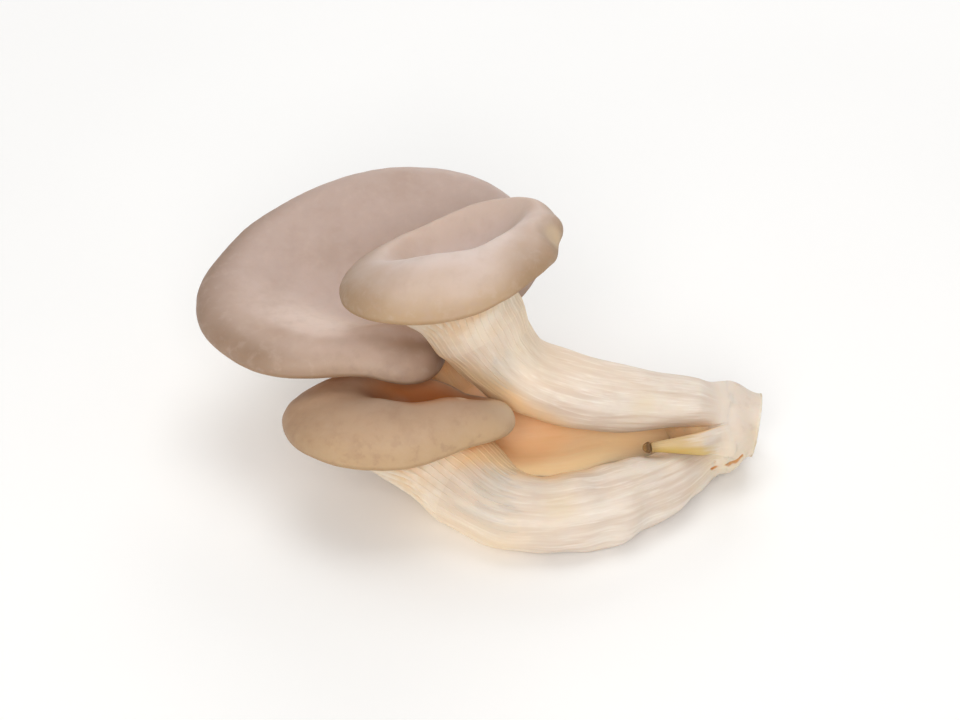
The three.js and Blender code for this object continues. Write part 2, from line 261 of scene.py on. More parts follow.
# %% Rims of the three caps
# hub: middle of the hollow; lip: radius of the lip; rise: degrees by which an open side climbs at
# its crest; inroll: degrees by which a rolled margin leans back in; root: how far down the stem
# the underside's arc leads; out: how far it leads on from the lip, as a share of its span where
# open and of the drop where rolled; gill: depth of the blades where open and where rolled
# rim: evenly spaced directions from +X towards +Y, each as radius, height above the hub, roll,
# where the crest lies as a share of the radius, and how far the margin hangs below the crest
UPPER_CAP = {
    "hub": [-2, 26.5, 51.5],
    "rise": 38,
    "inroll": 22,
    "lip": 1.3,
    "root": 13,
    "out": [0.5, 1.1],
    "gill": [2.2, 3],
    "rim": [
        [20.5, 17, 0.45, 0.6, 4.2], [18.3, 17.5, 0.15, 0.84, 3], [16.3, 15.5, 0, 0.88, 1.6],
        [17, 12, 0, 0.88, 1.6], [19, 7.5, 0, 0.88, 1.6], [23.5, 3.5, 0.15, 0.8, 3],
        [29.5, 2, 0.45, 0.66, 5.9], [31.5, 5.5, 0.85, 0.6, 10.3], [28.5, 8.5, 1, 0.58, 11.5],
        [25.5, 11, 1, 0.57, 9.6], [22, 14.5, 1, 0.53, 7.2], [21.5, 16.5, 0.85, 0.52, 4.8],
    ],
}  # fmt: skip
REAR_CAP = {
    "hub": [-13, 46, 33],
    "rise": 14,
    "inroll": 18,
    "lip": 1.5,
    "root": 18,
    "out": [0.45, 1.1],
    "gill": [3, 2.4],
    "rim": [
        [22.4, 5, 0.3, 0.82, 3.5], [30, 8, 0.1, 0.85, 2.6], [33.5, 12.5, 0, 0.86, 2.2],
        [36, 15, 0, 0.86, 2.2], [37, 16.5, 0, 0.86, 2.2], [38, 17, 0, 0.86, 2.2],
        [40, 16, 0, 0.86, 2.2], [45, 12.5, 0, 0.86, 2.2], [50.5, 7, 0.15, 0.84, 2.8],
        [56, 2, 0.5, 0.79, 4.4], [50, 0, 0.9, 0.73, 6.1], [42, 0.5, 1, 0.72, 6.5],
        [28.5, 1.5, 1, 0.72, 6.5], [31, 0.5, 1, 0.72, 6.5], [22.8, -1.8, 0.85, 0.74, 5.9],
        [10.5, 1.2, 0.5, 0.79, 4.4], [14, 3, 0.4, 0.8, 3.9], [19, 4, 0.4, 0.8, 3.9],
    ],
}  # fmt: skip
FRONT_CAP = {
    "hub": [-12, 17, 19.5],
    "rise": 30,
    "inroll": 22,
    "lip": 1.3,
    "root": 11,
    "out": [0.5, 1.1],
    "gill": [2, 2.4],
    "rim": [
        [19.2, 4.5, 0.25, 0.79, 4], [11.2, 4, 0, 0.85, 1.8], [11, 5.5, 0, 0.85, 1.8],
        [11, 6.5, 0, 0.85, 1.8], [13, 6, 0, 0.8, 2], [27, 5, 0.3, 0.6, 2.8],
        [35, 4, 0.7, 0.4, 6], [31, 5, 0.95, 0.42, 9.5], [24.5, 5.5, 1, 0.52, 11],
        [20, 6, 1, 0.6, 11], [17.5, 8, 0.85, 0.64, 9.6], [22, 7.5, 0.6, 0.7, 7.3],
    ],
}  # fmt: skip
SKIN = 1.4  # how far the gill skin stands proud of the cap's root at the stem
CURL = 130  # degrees a rolled margin has turned under by the time the gills start


# %% The profile in one direction
def cap_profile(cap, angle):
    """Rim values at the angle, and from them the crest's radius, height and slope."""
    rim = np.asarray(cap["rim"], float)
    radius, margin, roll, crest, fall = (around_ring(rim[:, k], angle) for k in range(5))
    return {
        "radius": radius,
        "margin": margin,
        "roll": roll,
        "drop": fall,
        "crest_radius": crest * radius,
        "crest_height": margin + fall,
        "crest_slope": np.radians(mix(cap["rise"], 0, roll)),
        "inward": np.radians(mix(5, cap["inroll"], roll)),
    }


def cap_top(p, t):
    """Radius and height over the hub: one Bezier arc from the hub (t 0) up to the crest (0.5),
    a second one over the crest and down to the margin (1)."""
    k, h, c, s = p["crest_radius"], p["crest_height"], np.cos(p["crest_slope"]), np.sin(p["crest_slope"])
    a = np.clip(t / 0.5, 0, 1)
    handle = 0.42 * k
    r1 = bezier(0, handle, k - handle * c, k, a)
    z1 = bezier(0, 0, h - handle * s, h, a)
    b = np.clip((t - 0.5) / 0.5, 0, 1)
    out, down = 0.55 * (p["radius"] - k), 0.55 * p["drop"]
    r2 = bezier(k, k + out * c, p["radius"] + down * np.sin(p["inward"]), p["radius"], b)
    z2 = bezier(h, h + out * s, p["margin"] + down * np.cos(p["inward"]), p["margin"], b)
    return np.where(t > 0.5, r2, r1), np.where(t > 0.5, z2, z1)


def cap_lip(cap, p, q):
    """An arc of the lip's radius that leaves the margin straight down and turns inward by up to
    the curl. Gives radius, height and the heading's two parts."""
    turned = np.radians(mix(84 - cap["rise"], CURL, p["roll"])) * q
    normal = -np.cos(p["inward"]), np.sin(p["inward"])
    down = -np.sin(p["inward"]), -np.cos(p["inward"])
    place = [
        cap["lip"] * (n * (1 - np.cos(turned)) + d * np.sin(turned)) for n, d in zip(normal, down)
    ]
    heading = [n * np.sin(turned) + d * np.cos(turned) for n, d in zip(normal, down)]
    return p["radius"] + place[0], p["margin"] + place[1], heading[0], heading[1]


def cap_point(cap, angle, r, z):
    """From radius and height in a direction to a place: hub + r (cos, sin) + z up."""
    hub = cap["hub"]
    return np.stack([hub[0] + r * np.cos(angle), hub[1] + r * np.sin(angle), hub[2] + z], -1)


def rib_point(cap, path, angle, s, depth=0.0):
    """The underside: a Bezier arc that leaves the lip in its heading and arrives down the stem,
    moved outward by depth: square to the arc and to the direction around the cap, and near the
    stem straight away from the stem's middle."""
    stations, frames = path
    p = cap_profile(cap, angle)
    r, z, heading_r, heading_z = cap_lip(cap, p, 1.0)
    start = cap_point(cap, angle, r, z)
    end = stem_point(stations, frames, np.ones_like(angle), angle, -SKIN)
    span = np.linalg.norm(end - start, axis=-1)
    open_reach, rolled_reach = cap["out"]
    reach = mix(open_reach * span, np.minimum(rolled_reach * p["drop"], 0.7 * span), p["roll"])
    leave = np.stack([heading_r * np.cos(angle), heading_r * np.sin(angle), heading_z], -1)
    p1 = start + leave * reach[..., None]
    p2 = end + frames["heading"][-1] * np.minimum(cap["root"], 0.6 * span)[..., None]
    t = np.asarray(s)[..., None]
    slope = (p1 - start) * (1 - t) ** 2 + (p2 - p1) * 2 * (1 - t) * t + (end - p2) * t * t
    around = np.stack([-np.sin(angle), np.cos(angle), 0 * angle], -1)
    radial = unit(end - frames["middle"][-1])
    facing = unit(mix(unit(np.cross(slope, around)), radial, smooth(0.35, 0.85, t)))
    return bezier(start, p1, p2, end, t) + facing * np.asarray(depth)[..., None], span, p["roll"]


caps = {"upper": UPPER_CAP, "rear": REAR_CAP, "front": FRONT_CAP}
for name, cap in caps.items():
    wide = around_ring(np.array(cap["rim"])[:, 0], np.array([0, np.pi])).sum()
    print(f"{name} cap is about {wide:.0f} mm wide")

# %% [markdown]
# ## From a grid of points to a closed body
# Every piece is a stack of rings. Neighbouring rings are joined by squares, and the first and
# last ring are either fanned to their middles or joined to each other. Building it this way
# leaves no open seam. The sign of the enclosed volume tells whether the faces look outward.
# Numbers that a material needs later, such as how enclosed a point is for the painted shade, are
# stored on the vertices, because they follow the surface and survive any camera angle.

# %% Rings into a mesh
MM = 0.001


def ring_faces(rows, columns, joined):
    """Squares between neighbouring rings; joined adds the strip from the last ring to the first."""
    k = np.arange(rows if joined else rows - 1)[:, None]
    i = np.arange(columns)[None, :]
    j = (i + 1) % columns
    a, b = k * columns, ((k + 1) % rows) * columns
    return np.stack([a + i, a + j, b + j, b + i], -1).reshape(-1, 4)


def fan_faces(ring_start, middle, columns, flip):
    """Triangles from a ring to one middle point."""
    i = ring_start + np.arange(columns)
    j = ring_start + (np.arange(columns) + 1) % columns
    m = np.full(columns, middle)
    return np.stack([m, j, i] if flip else [m, i, j], -1)


def enclosed(points, squares, triangles):
    """Volume by summing the cones from the origin to each triangle."""
    tris = np.concatenate([squares[:, :3], squares[:, [0, 2, 3]], triangles])
    a, b, c = (points[tris[:, k]] for k in range(3))
    return np.einsum("ij,ij->", a, np.cross(b, c)) / 6


def body(name, grid, layers, material, node, joined=False):
    """A closed mesh object from grid [rings, corners, 3] in mm, moved by the shift. layers are
    numbers or vectors per point, stored as attributes under their names. It stands for the plain
    body called node, and material is its finish."""
    rows, columns = grid.shape[:2]
    points = grid.reshape(-1, 3)
    layers = {k: np.asarray(v, float) for k, v in layers.items()}
    flat = {k: v.reshape(rows * columns, -1) for k, v in layers.items()}
    squares = ring_faces(rows, columns, joined)
    triangles = np.zeros((0, 3), int)
    if not joined:
        ends = [grid[0].mean(0), grid[-1].mean(0)]
        points = np.concatenate([points, ends])
        flat = {
            k: np.concatenate([v, v[:columns].mean(0)[None], v[-columns:].mean(0)[None]])
            for k, v in flat.items()
        }
        n = rows * columns
        first, last = fan_faces(0, n, columns, True), fan_faces(n - columns, n + 1, columns, False)
        triangles = np.concatenate([first, last])
    if enclosed(points, squares, triangles) < 0:
        squares, triangles = squares[:, ::-1], triangles[:, ::-1]
    mesh = bpy.data.meshes.new(name)
    mesh.vertices.add(len(points))
    mesh.vertices.foreach_set("co", ((points + shift) * MM).astype(np.float32).ravel())
    corners = np.concatenate([squares.ravel(), triangles.ravel()])
    sizes = np.concatenate([np.full(len(squares), 4), np.full(len(triangles), 3)])
    mesh.loops.add(len(corners))
    mesh.loops.foreach_set("vertex_index", corners.astype(np.int32))
    mesh.polygons.add(len(sizes))
    starts = np.concatenate([[0], np.cumsum(sizes)[:-1]])
    mesh.polygons.foreach_set("loop_start", starts.astype(np.int32))
    mesh.polygons.foreach_set("loop_total", sizes.astype(np.int32))
    mesh.update(calc_edges=True)
    mesh.shade_smooth()
    for key, values in flat.items():
        kind, field = ("FLOAT", "value") if values.shape[1] == 1 else ("FLOAT_VECTOR", "vector")
        layer = mesh.attributes.new(key, kind, "POINT")
        layer.data.foreach_set(field, values.astype(np.float32).ravel())
    mesh.validate()
    piece = bpy.data.objects.new(name, mesh)
    bpy.context.scene.collection.objects.link(piece)
    mesh.materials.append(material)
    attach(piece, "root")
    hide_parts(node)
    print(f"{name}: {len(squares) * 2 + len(triangles)} triangles")
    return piece


# %% [markdown]
# ## Uneven growth
# Nothing that grew is perfectly smooth. A handful of sine waves in seeded random directions adds
# gentle swellings: cheap, the same on every run, and smooth enough for soft flesh.


# %% Swellings and fibres
def swell(points, seed, size, waves=7):
    """Sum of sine waves of about this size in mm, each in a random direction, over the root of
    how many there are: mostly -1 to 1."""
    rng = np.random.default_rng(seed)
    directions = unit(rng.normal(size=(waves, 3)))
    lengths = size * rng.uniform(0.7, 1.6, waves)
    phases = rng.uniform(0, TAU, waves)
    total = sum(
        np.sin(points @ d * (TAU / l) + f) for d, l, f in zip(directions, lengths, phases)
    )
    return total / np.sqrt(waves)


def fibres(angle, along, seed, count, wander, waves=9):
    """Ridges that run along a stem: strength x (1 - 2 |sine|), a whole number of ridges around it,
    whose phase and strength drift slowly with the distance along, averaged over several counts."""
    rng = np.random.default_rng(seed)
    total = 0
    for turns in rng.integers(count * 0.6, count * 1.5, waves):
        drift = np.sin(along / rng.uniform(9, 22) + rng.uniform(0, TAU)) * wander
        strength = 0.6 + 0.4 * np.sin(along / rng.uniform(4, 11) + rng.uniform(0, TAU))
        total = total + strength * (
            1 - 2 * np.abs(np.sin(angle * turns / 2 + drift + rng.uniform(0, TAU)))
        )
    return total / waves


STRETCH = 0.09  # how slowly the threads' pattern changes along a stem, 1 as fast as around it


def thread_place(wide, angle, along):
    """Where a material reads its threads: on a cylinder of this radius, slowly along it, so that
    round spots of noise are drawn out into threads."""
    return np.stack([wide * np.cos(angle), wide * np.sin(angle), along * STRETCH], -1)


def outward(grid):
    """Normals: cross product of the steps around and along the rings, turned the way in which the
    grid encloses a positive volume."""
    around = np.roll(grid, -1, 1) - np.roll(grid, 1, 1)
    n = np.cross(around, np.gradient(grid, axis=0))
    sign = np.sign(np.sum((grid - grid.mean((0, 1))) * n))
    return unit(n) * sign


# %% [markdown]
# ## Where the butt is, and so where everything is
# The frame's own origin is the bottom middle of the whole cluster. The stations above are
# written from another origin, so one body settles the shift: the butt's box is known in the
# frame, and its formula gives the same low corner here. The fine butt is cut a little further out
# than the plain one, which leaves that corner where it is.

# %% The butt's form
BUTT_X = 57.9
BUTT_MIDDLE = [31.5, 10.8]
BUTT_OUTLINE = [
    12, 10, 8.5, 10.5, 12.6, 12.2, 9, 12.5, 13.5, 13, 11.8, 10, 8.8, 9.4, 10.8, 12,
]  # fmt: skip
CUT_MIDDLE = [31, 11.1]
CUT_HALF = [7, 8]
CUT_X = 65.4
CUT_LEAN = [0.08, 0.12]
# the skin starts a little inside the outline, with lumps of this height in mm
BUTT_START, BUTT_LUMPS, BUTT_SEED = -0.35, 0.3, 12


def butt_point(angle, v):
    """The lobed outline where the stems meet (v 0) narrows by an S curve to the leaning oval that
    was cut through (v 1)."""
    k = v * v * (3 - 2 * v)
    outline = around_ring(BUTT_OUTLINE, angle)
    y = mix(BUTT_MIDDLE[0] + outline * np.cos(angle), CUT_MIDDLE[0] + CUT_HALF[0] * np.cos(angle), k)
    z = mix(BUTT_MIDDLE[1] + outline * np.sin(angle), CUT_MIDDLE[1] + CUT_HALF[1] * np.sin(angle), k)
    cut = CUT_X + CUT_LEAN[0] * (y - CUT_MIDDLE[0]) + CUT_LEAN[1] * (z - CUT_MIDDLE[1])
    return np.stack([mix(BUTT_X, cut, v), y, np.maximum(z, 0)], -1)


corners = np.arange(32) * TAU / 32
plain = butt_point(corners[None, :], np.linspace(0, 1, 6)[:, None])
shift = np.array(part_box("butt")[0]) / MM - plain.reshape(-1, 3).min(0)
print("shift in mm:", np.round(shift, 3))

# %% [markdown]
# ## Caps as skins of rings
# Each cap becomes one closed skin: out from the hub over the crest to the margin, round the lip,
# and back underneath into the stem. The real caps are nearly smooth, so the rings are close
# together where the margin rolls, and the relief is only gentle swellings and a few shallow folds
# that run out to the margin.


# %% A cap's rings
def ring_angles(columns):
    """Evenly spaced directions, one whole turn."""
    return np.arange(columns) * TAU / columns


# where the rings lie along each arc: closer together from the crest outward
TOP_STEPS = np.concatenate([np.linspace(0.02, 0.46, 34), np.linspace(0.475, 1, 40)])
LIP_STEPS = np.linspace(0.12, 1, 9)
UNDER_STEPS = np.linspace(0.04, 1, 22)


def cap_rings(cap, path, columns):
    """Top, lip and underside as one grid. out says how far out each point lies, 0 at the hub, 1 at
    the margin and up to 1.9 underneath, under how far round the lip it is, 0 on top to 1."""
    angle = ring_angles(columns)
    p = cap_profile(cap, angle)
    tops = [cap_point(cap, angle, *cap_top(p, np.full_like(angle, t))) for t in TOP_STEPS]
    lips = [cap_point(cap, angle, *cap_lip(cap, p, q)[:2]) for q in LIP_STEPS]
    ribs = [rib_point(cap, path, angle, np.full_like(angle, s))[0] for s in UNDER_STEPS]
    n_top, n_lip, n_under = len(tops), len(lips), len(ribs)
    out = np.concatenate([TOP_STEPS, np.ones(n_lip), np.linspace(1.05, 1.9, n_under)])
    under = np.concatenate([np.zeros(n_top), np.linspace(0.1, 1, n_lip), np.ones(n_under)])
    return {
        "grid": np.stack(tops + lips + ribs),
        "angle": np.tile(angle, (len(out), 1)),
        "out": np.repeat(out[:, None], columns, 1),
        "under": np.repeat(under[:, None], columns, 1),
    }


def far_from(grid, places):
    """Distance in mm from each point to the nearest of the straight lines that join the places."""
    places = np.asarray(places, float)
    gaps = []
    for a, b in zip(places[:-1], places[1:]):
        share = np.clip(((grid - a) @ (b - a)) / ((b - a) @ (b - a)), 0, 1)
        gaps.append(np.linalg.norm(grid - (a + share[..., None] * (b - a)), axis=-1))
    return np.min(gaps, axis=0)


def bell(x, middle, wide):
    """1 at the middle, falling on both sides by a bell curve of this width."""
    return np.exp(-(((x - middle) / wide) ** 2))


def press(grid, far, wide, deep):
    """Pulls points inward by a bell curve of how far they are from a place or line, and lifts a
    low wall around it, as pressed flesh does."""
    dent = bell(far, 0, wide)
    wall = bell(far, 1.9 * wide, 0.6 * wide)
    return grid + outward(grid) * (0.3 * wall - dent)[..., None] * deep, dent


CAP_COLUMNS = 320
BROAD, FINE, FOLDS = 0.14, 0.03, 0.05  # heights in mm of the swellings and of the folds
cap_skins = {}
for seed, (name, cap) in enumerate(caps.items()):
    skin = cap_rings(cap, paths[name], CAP_COLUMNS)
    grid, angle, out = skin["grid"], skin["angle"], skin["out"]
    shown = (1 - skin["under"]) * smooth(0.05, 0.3, out)
    folds = swell(np.stack([np.cos(angle), np.sin(angle), 0 * out], -1) * 30, seed, 9)
    relief = BROAD * swell(grid, 10 + seed, 17) + FINE * swell(grid, 20 + seed, 4)
    relief = relief + FOLDS * folds * smooth(0.5, 0.9, out)
    skin["grid"] = grid + outward(grid) * (relief * shown)[..., None]
    cap_skins[name] = skin
print("cap rings and corners:", {k: v["grid"].shape[:2] for k, v in cap_skins.items()})

# %% [markdown]
# ## Marks of handling
# A cap that grew against its neighbours and was picked by hand is marked. Something pressed a dent
# into the upper cap's rim, the front cap has a pale spot in its hollow and a dark nick at its tip,
# and the rear cap is stained low on its near side. The first three change the surface as well as
# the colour, because a mark that is only painted on looks flat.


# %% The dent, the scars and the stains
def place_on(cap, degrees, t):
    """The point of a cap's top in this direction, t 0 at the hub and 1 at the margin."""
    side = np.radians(degrees)
    return cap_point(cap, side, *cap_top(cap_profile(cap, side), np.array(t)))


def spot(grid, place, wide):
    """1 at the place, falling to 0 by a bell curve of the distance."""
    return bell(np.linalg.norm(grid - place, axis=-1), 0, wide)


dent = place_on(UPPER_CAP, -16, 0.83)
skin = cap_skins["upper"]
far = np.linalg.norm(skin["grid"] - dent, axis=-1)
skin["grid"], skin["pale"] = press(skin["grid"], far, 3.1, 1.3)
skin = cap_skins["front"]
skin["pale"] = spot(skin["grid"], place_on(FRONT_CAP, -50, 0.47), 1.2)
# its right arm is painted paler all over, in colour only: painted light that lifts the shade there
skin["arm"] = 0.8 * spot(skin["grid"], place_on(FRONT_CAP, -10, 0.6), 8)
skin["scar"] = spot(skin["grid"], place_on(FRONT_CAP, -4, 0.97), 1.1)
sunk = 0.5 * skin["scar"] - 0.15 * skin["pale"]
skin["grid"] = skin["grid"] - outward(skin["grid"]) * sunk[..., None]
skin = cap_skins["rear"]
skin["stain"] = 0.9 * spot(skin["grid"], place_on(REAR_CAP, -93, 0.5), 8)
print("dent at", np.round(dent, 1))

# %% [markdown]
# ## Stems
# Stem flesh is a bundle of fine threads. They show as low ridges that run along the stem, drift a
# little and fade in and out. The ridges are cut into the surface itself, which holds up at a
# grazing light where a bump map would look flat. The relief is a function of its own, because the
# gills that run down a stem ride on it too. At its foot a stem flows into the outline of the butt,
# and goes on a little under the butt's skin.

# %% A stem's relief and rings
# seed, height of the threads and height of the lumps in mm
STEM_RELIEF = {
    "upper": (3, 0.06, 0.3),
    "rear": (4, 0.05, 0.3),
    "front": (5, 0.06, 0.35),
    "pin": (6, 0.08, 0.12),
}
STEM_THREADS, PIN_THREADS = 40, 8  # about how many threads stand around


def stem_relief(name, u, angle):
    """Height in mm over the plain oval: fine threads, broad ridges and lumps, added up. Also the
    threads alone, and how far in mm each point is from the foot and from the cap."""
    stations, frames = paths[name]
    seed, threads, lumps = STEM_RELIEF[name]
    along = np.interp(u, frames["u"], frames["length"])
    from_cap = frames["length"][-1] - along
    count = PIN_THREADS if name == "pin" else STEM_THREADS
    thread = fibres(angle, along, seed, count, 1.5)
    ridge = fibres(angle, along, seed + 7, count * 0.3, 0.9, 5)
    lump = swell(stem_point(stations, frames, u, angle), seed + 3, 13)
    lift = smooth(0, 0.03, u) * (threads * (0.55 * thread + 0.45 * ridge) + lumps * lump)
    if name != "pin":
        lift = lift * smooth(0, 6, from_cap)
    return lift, thread, along, from_cap


# each ring under the butt's skin: how far past the stem's end in mm, and its share of the size
HIDDEN_END = ((2.4, 0.6), (1.9, 0.85), (1.2, 0.955), (0.6, 0.987))


def meet_butt(grid, only_in=False):
    """Over its last few millimetres a stem's outer side flows into the butt's outline: each
    point's distance from the butt's middle is drawn towards the outline's in its direction. Four
    rings, in place of the second to the fifth, carry the end on under the butt's skin, so that no
    edge shows. only_in draws points in and moves none out."""
    y, z = grid[..., 1] - BUTT_MIDDLE[0], grid[..., 2] - BUTT_MIDDLE[1]
    angle, far = np.arctan2(z, y) % TAU, np.hypot(y, z)
    edge = around_ring(BUTT_OUTLINE, angle)
    rim = np.stack([y / far * edge, z / far * edge], -1) + BUTT_MIDDLE
    rim = np.concatenate([np.full((*rim.shape[:-1], 1), BUTT_X), rim], -1)
    edge = edge + BUTT_START + BUTT_LUMPS * swell(rim, BUTT_SEED, 7)
    pull = (1 - smooth(0, 7, BUTT_X - grid[..., 0])) * smooth(0.72, 0.88, far / edge)
    moved = far + (np.minimum(edge - far, 0) if only_in else edge - far) * pull
    grid = grid.copy()
    grid[..., 1] = BUTT_MIDDLE[0] + y / far * moved
    grid[..., 2] = np.maximum(BUTT_MIDDLE[1] + z / far * moved, 0)
    middle = grid[0].mean(0)
    ring = grid[0] - middle
    hidden_rings = [middle + ring * size + [ahead, 0, 0] for ahead, size in HIDDEN_END]
    return np.concatenate([hidden_rings, grid[:1], grid[len(HIDDEN_END) + 1 :]])


SUNK = 1.1  # how deep in mm a stem's top end lies under the gills' skin


def mean_width(stations):
    """The mean of the stations' first half width."""
    return float(np.mean(np.array(stations)[:, 3]))


def stem_rings(name, rows, columns):
    """Rings up the stem, each point moved out by the relief but not below the table, and near the
    cap a little above it, under the gills' skin."""
    stations, frames = paths[name]
    u, angle = np.meshgrid(np.linspace(0, 1, rows), ring_angles(columns), indexing="ij")
    lift, thread, along, from_cap = stem_relief(name, u, angle)
    if name != "pin":
        lift = lift - SUNK * (1 - smooth(0, 4, from_cap))
    grid = meet_butt(stem_point(stations, frames, u, angle, lift), name == "pin")
    if name != "pin":
        grid[..., 2] = np.maximum(grid[..., 2], 0.25 * (1 - smooth(8, 24, from_cap)))
    grain = thread_place(mean_width(stations), angle, along)
    return {"grid": grid, "fibre": thread, "grain": grain, "share": u}


STEM_ROWS, STEM_COLUMNS = 190, 300
PIN_ROWS, PIN_COLUMNS = 60, 64
stem_skins = {name: stem_rings(name, STEM_ROWS, STEM_COLUMNS) for name in caps}
stem_skins["pin"] = stem_rings("pin", PIN_ROWS, PIN_COLUMNS)
print("stem rings and corners:", {k: v["grid"].shape[:2] for k, v in stem_skins.items()})

# %% [markdown]
# ## Gills
# Under each cap hang the gills: thin blades that radiate from the stem. Some reach the whole way
# and run on down the stem, and between them stand shorter ones, so the blades stay evenly close
# all the way out. Hundreds of separate plates would be heavy and would cross each other. One
# skin whose depth rises and falls around the ring gives the same blades and stays closed: it
# goes out over the blades and down the stem, and comes back up inside the flesh.

# %% Blades around the ring
# which fraction of the way from the margin to the stem each kind of blade reaches, in turn
REACHES = [1.2, 0.34, 0.66, 0.34]
# corners of one blade's outline as (share of its pitch from the middle, height)
BLADE = [[-0.5, 0], [-0.2, 0.1], [-0.09, 1], [0.09, 1], [0.2, 0.1]]
FULL_BLADES = {"upper": 44, "rear": 56, "front": 40}
LIP_DEPTH = 0.8  # depth in mm with which a blade starts at the lip
ON_STEM = [0.05, 0.2]  # how proud in mm of the stem the skin lies there, and a blade on it
# where the rings lie: shares of the way to the stem, then mm down it, and the way back inside
BLADE_STEPS = np.linspace(0.015, 1, 30)
RUN_DOWN = np.linspace(0.6, 24, 18)
INSIDE_STEM = np.linspace(24, 0, 7)
INSIDE_CAP = [0.93, 0.8, 0.6, 0.4, 0.2, 0.015]
OUTER_RINGS = len(BLADE_STEPS) + len(RUN_DOWN)


def blade_ring(name, seed):
    """For each corner of a ring: its direction, its blade's height 0 or 1, and its reach."""
    rng = np.random.default_rng(seed)
    count = FULL_BLADES[name] * len(REACHES)
    middle = (np.arange(count) + rng.uniform(-0.16, 0.16, count)) * TAU / count
    reach = np.tile(REACHES, FULL_BLADES[name]) + rng.uniform(-0.08, 0.08, count)
    share, height = np.array(BLADE).T
    angle = middle[:, None] + share[None, :] * TAU / count
    return angle.ravel(), np.tile(height, count), np.repeat(reach, len(BLADE)), count


def gill_rings(name, cap, path, seed):
    """Outer skin from the lip to the stem and on down it, then back up inside the flesh. Between
    the cap and the stem a point stands proud by a valley's depth, plus on a blade the rest of
    the blade's: a sine arc from the lip to the stem."""
    stations, frames = path
    length = frames["length"]
    wide = mean_width(stations)
    angle, height, reach, count = blade_ring(name, seed)
    rng = np.random.default_rng(seed + 50)
    end = np.repeat(rng.uniform(6, 22, count), len(BLADE))
    rings, layers = [], {key: [] for key in ("hollow", "along", "grain", "share")}

    def add(points, **values):
        """One more ring, with what the material needs to know about it."""
        rings.append(points)
        for key, value in values.items():
            layers[key].append(value + 0 * points if key == "grain" else value + 0 * angle)

    def wandered(s):
        """The directions of the blades, which waver a little on their way in."""
        return angle + 0.35 * TAU / count * np.sin(s * 7 + angle * 5 + seed) * smooth(0, 0.3, s)

    def stem_share(down):
        """The stem's share u at this many mm below its end."""
        return np.full_like(angle, np.interp(length[-1] - down, length, frames["u"]))

    for s in BLADE_STEPS:
        at = np.full_like(angle, s)
        span, roll = rib_point(cap, path, wandered(s), at)[1:]
        most = np.minimum(mix(*cap["gill"], roll), 0.16 * span)
        deep = mix(LIP_DEPTH, SKIN, s) + most * np.sin(np.pi * s**1.2) ** 1.3
        valley = np.minimum(mix(0.3, 1.0, s) + 0.12 * deep, deep)
        stand = height * (1 - smooth(reach - 0.12, reach, s)) * smooth(-0.02, 0.05, s)
        stand = stand * (1 - 0.75 * smooth(0.6, 0.92, s))
        ending = SKIN + mix(*ON_STEM, height * (reach > 1))
        proud = mix(mix(valley, deep, stand), ending, smooth(0.72, 1, s))
        add(
            rib_point(cap, path, wandered(s), at, proud)[0],
            hollow=(1 - stand) * smooth(0.4, 2.5, deep - valley) * (1 - smooth(0.7, 1, s)),
            along=s,
            grain=thread_place(wide, angle, length[-1] + span * (1 - s)),
            share=1.0,
        )
    for down in RUN_DOWN:
        u = stem_share(down)
        fade = 1 - smooth(0.3, 1, down / end)
        stand = height * (reach > 1) * fade
        lift, _, far, _ = stem_relief(name, u, wandered(1.0))
        proud = lift + mix(*ON_STEM, stand) - 0.6 * smooth(0.7, 1.0, down / end)
        add(
            stem_point(stations, frames, u, wandered(1.0), proud),
            hollow=(1 - stand) * fade * 0.15,
            along=1 + down,
            grain=thread_place(wide, wandered(1.0), far),
            share=u,
        )
    for down in INSIDE_STEM:
        inner = stem_point(stations, frames, stem_share(down), angle, -1.8)
        inner[..., 2] = np.maximum(inner[..., 2], 0.5)
        add(inner, hollow=0, along=0, grain=0, share=0)
    for s in INSIDE_CAP:
        inner = rib_point(cap, path, angle, np.full_like(angle, s), -0.3)[0]
        add(inner, hollow=0, along=0, grain=0, share=0)
    return {"grid": np.stack(rings)} | {key: np.stack(rows) for key, rows in layers.items()}


gill_skins = {
    name: gill_rings(name, cap, paths[name], 30 + k) for k, (name, cap) in enumerate(caps.items())
}
print("gill rings and corners:", {k: v["grid"].shape[:2] for k, v in gill_skins.items()})

# %% [markdown]
# ## The butt
# The three stems end in one lump, and a knife went through it. The lump's outline has a lobe for
# each stem, its sides carry the same fibres, and the cut face is flat but not quite: threads tear
# before the blade reaches them. Between the stems the flesh has grown together some way back. A
# smooth ball there would look like a plug, so the outline itself is carried back and closed.


# %% The butt's rings
CROTCH = 15.0  # how far back between the stems the joined flesh reaches, in mm
BUTT_WIDE = 11.0  # radius on which its threads are read
BUTT_COLUMNS = 288


def joined_flesh(angle, seed):
    """The outline carried back between the stems, drawn in a little more with each millimetre and
    closed like the end of an egg, from its far end to the outline."""
    back = np.repeat(CROTCH * np.sin(np.linspace(1.53, 0.02, 36))[:, None], len(angle), 1)
    grid = np.broadcast_to(butt_point(angle, 0 * angle), (*back.shape, 3)).copy()
    ragged = 0.03 * smooth(0, 3, back) * swell(grid + back[..., None], seed + 9, 4)
    share = (1 - 0.006 * back - 0.0014 * back**2 + ragged) * (1 - (back / CROTCH) ** 2) ** 0.6
    middle = np.array([0, *BUTT_MIDDLE])
    grid = middle + (grid - middle) * share[..., None]
    grid[..., 0] = BUTT_X - back
    return grid


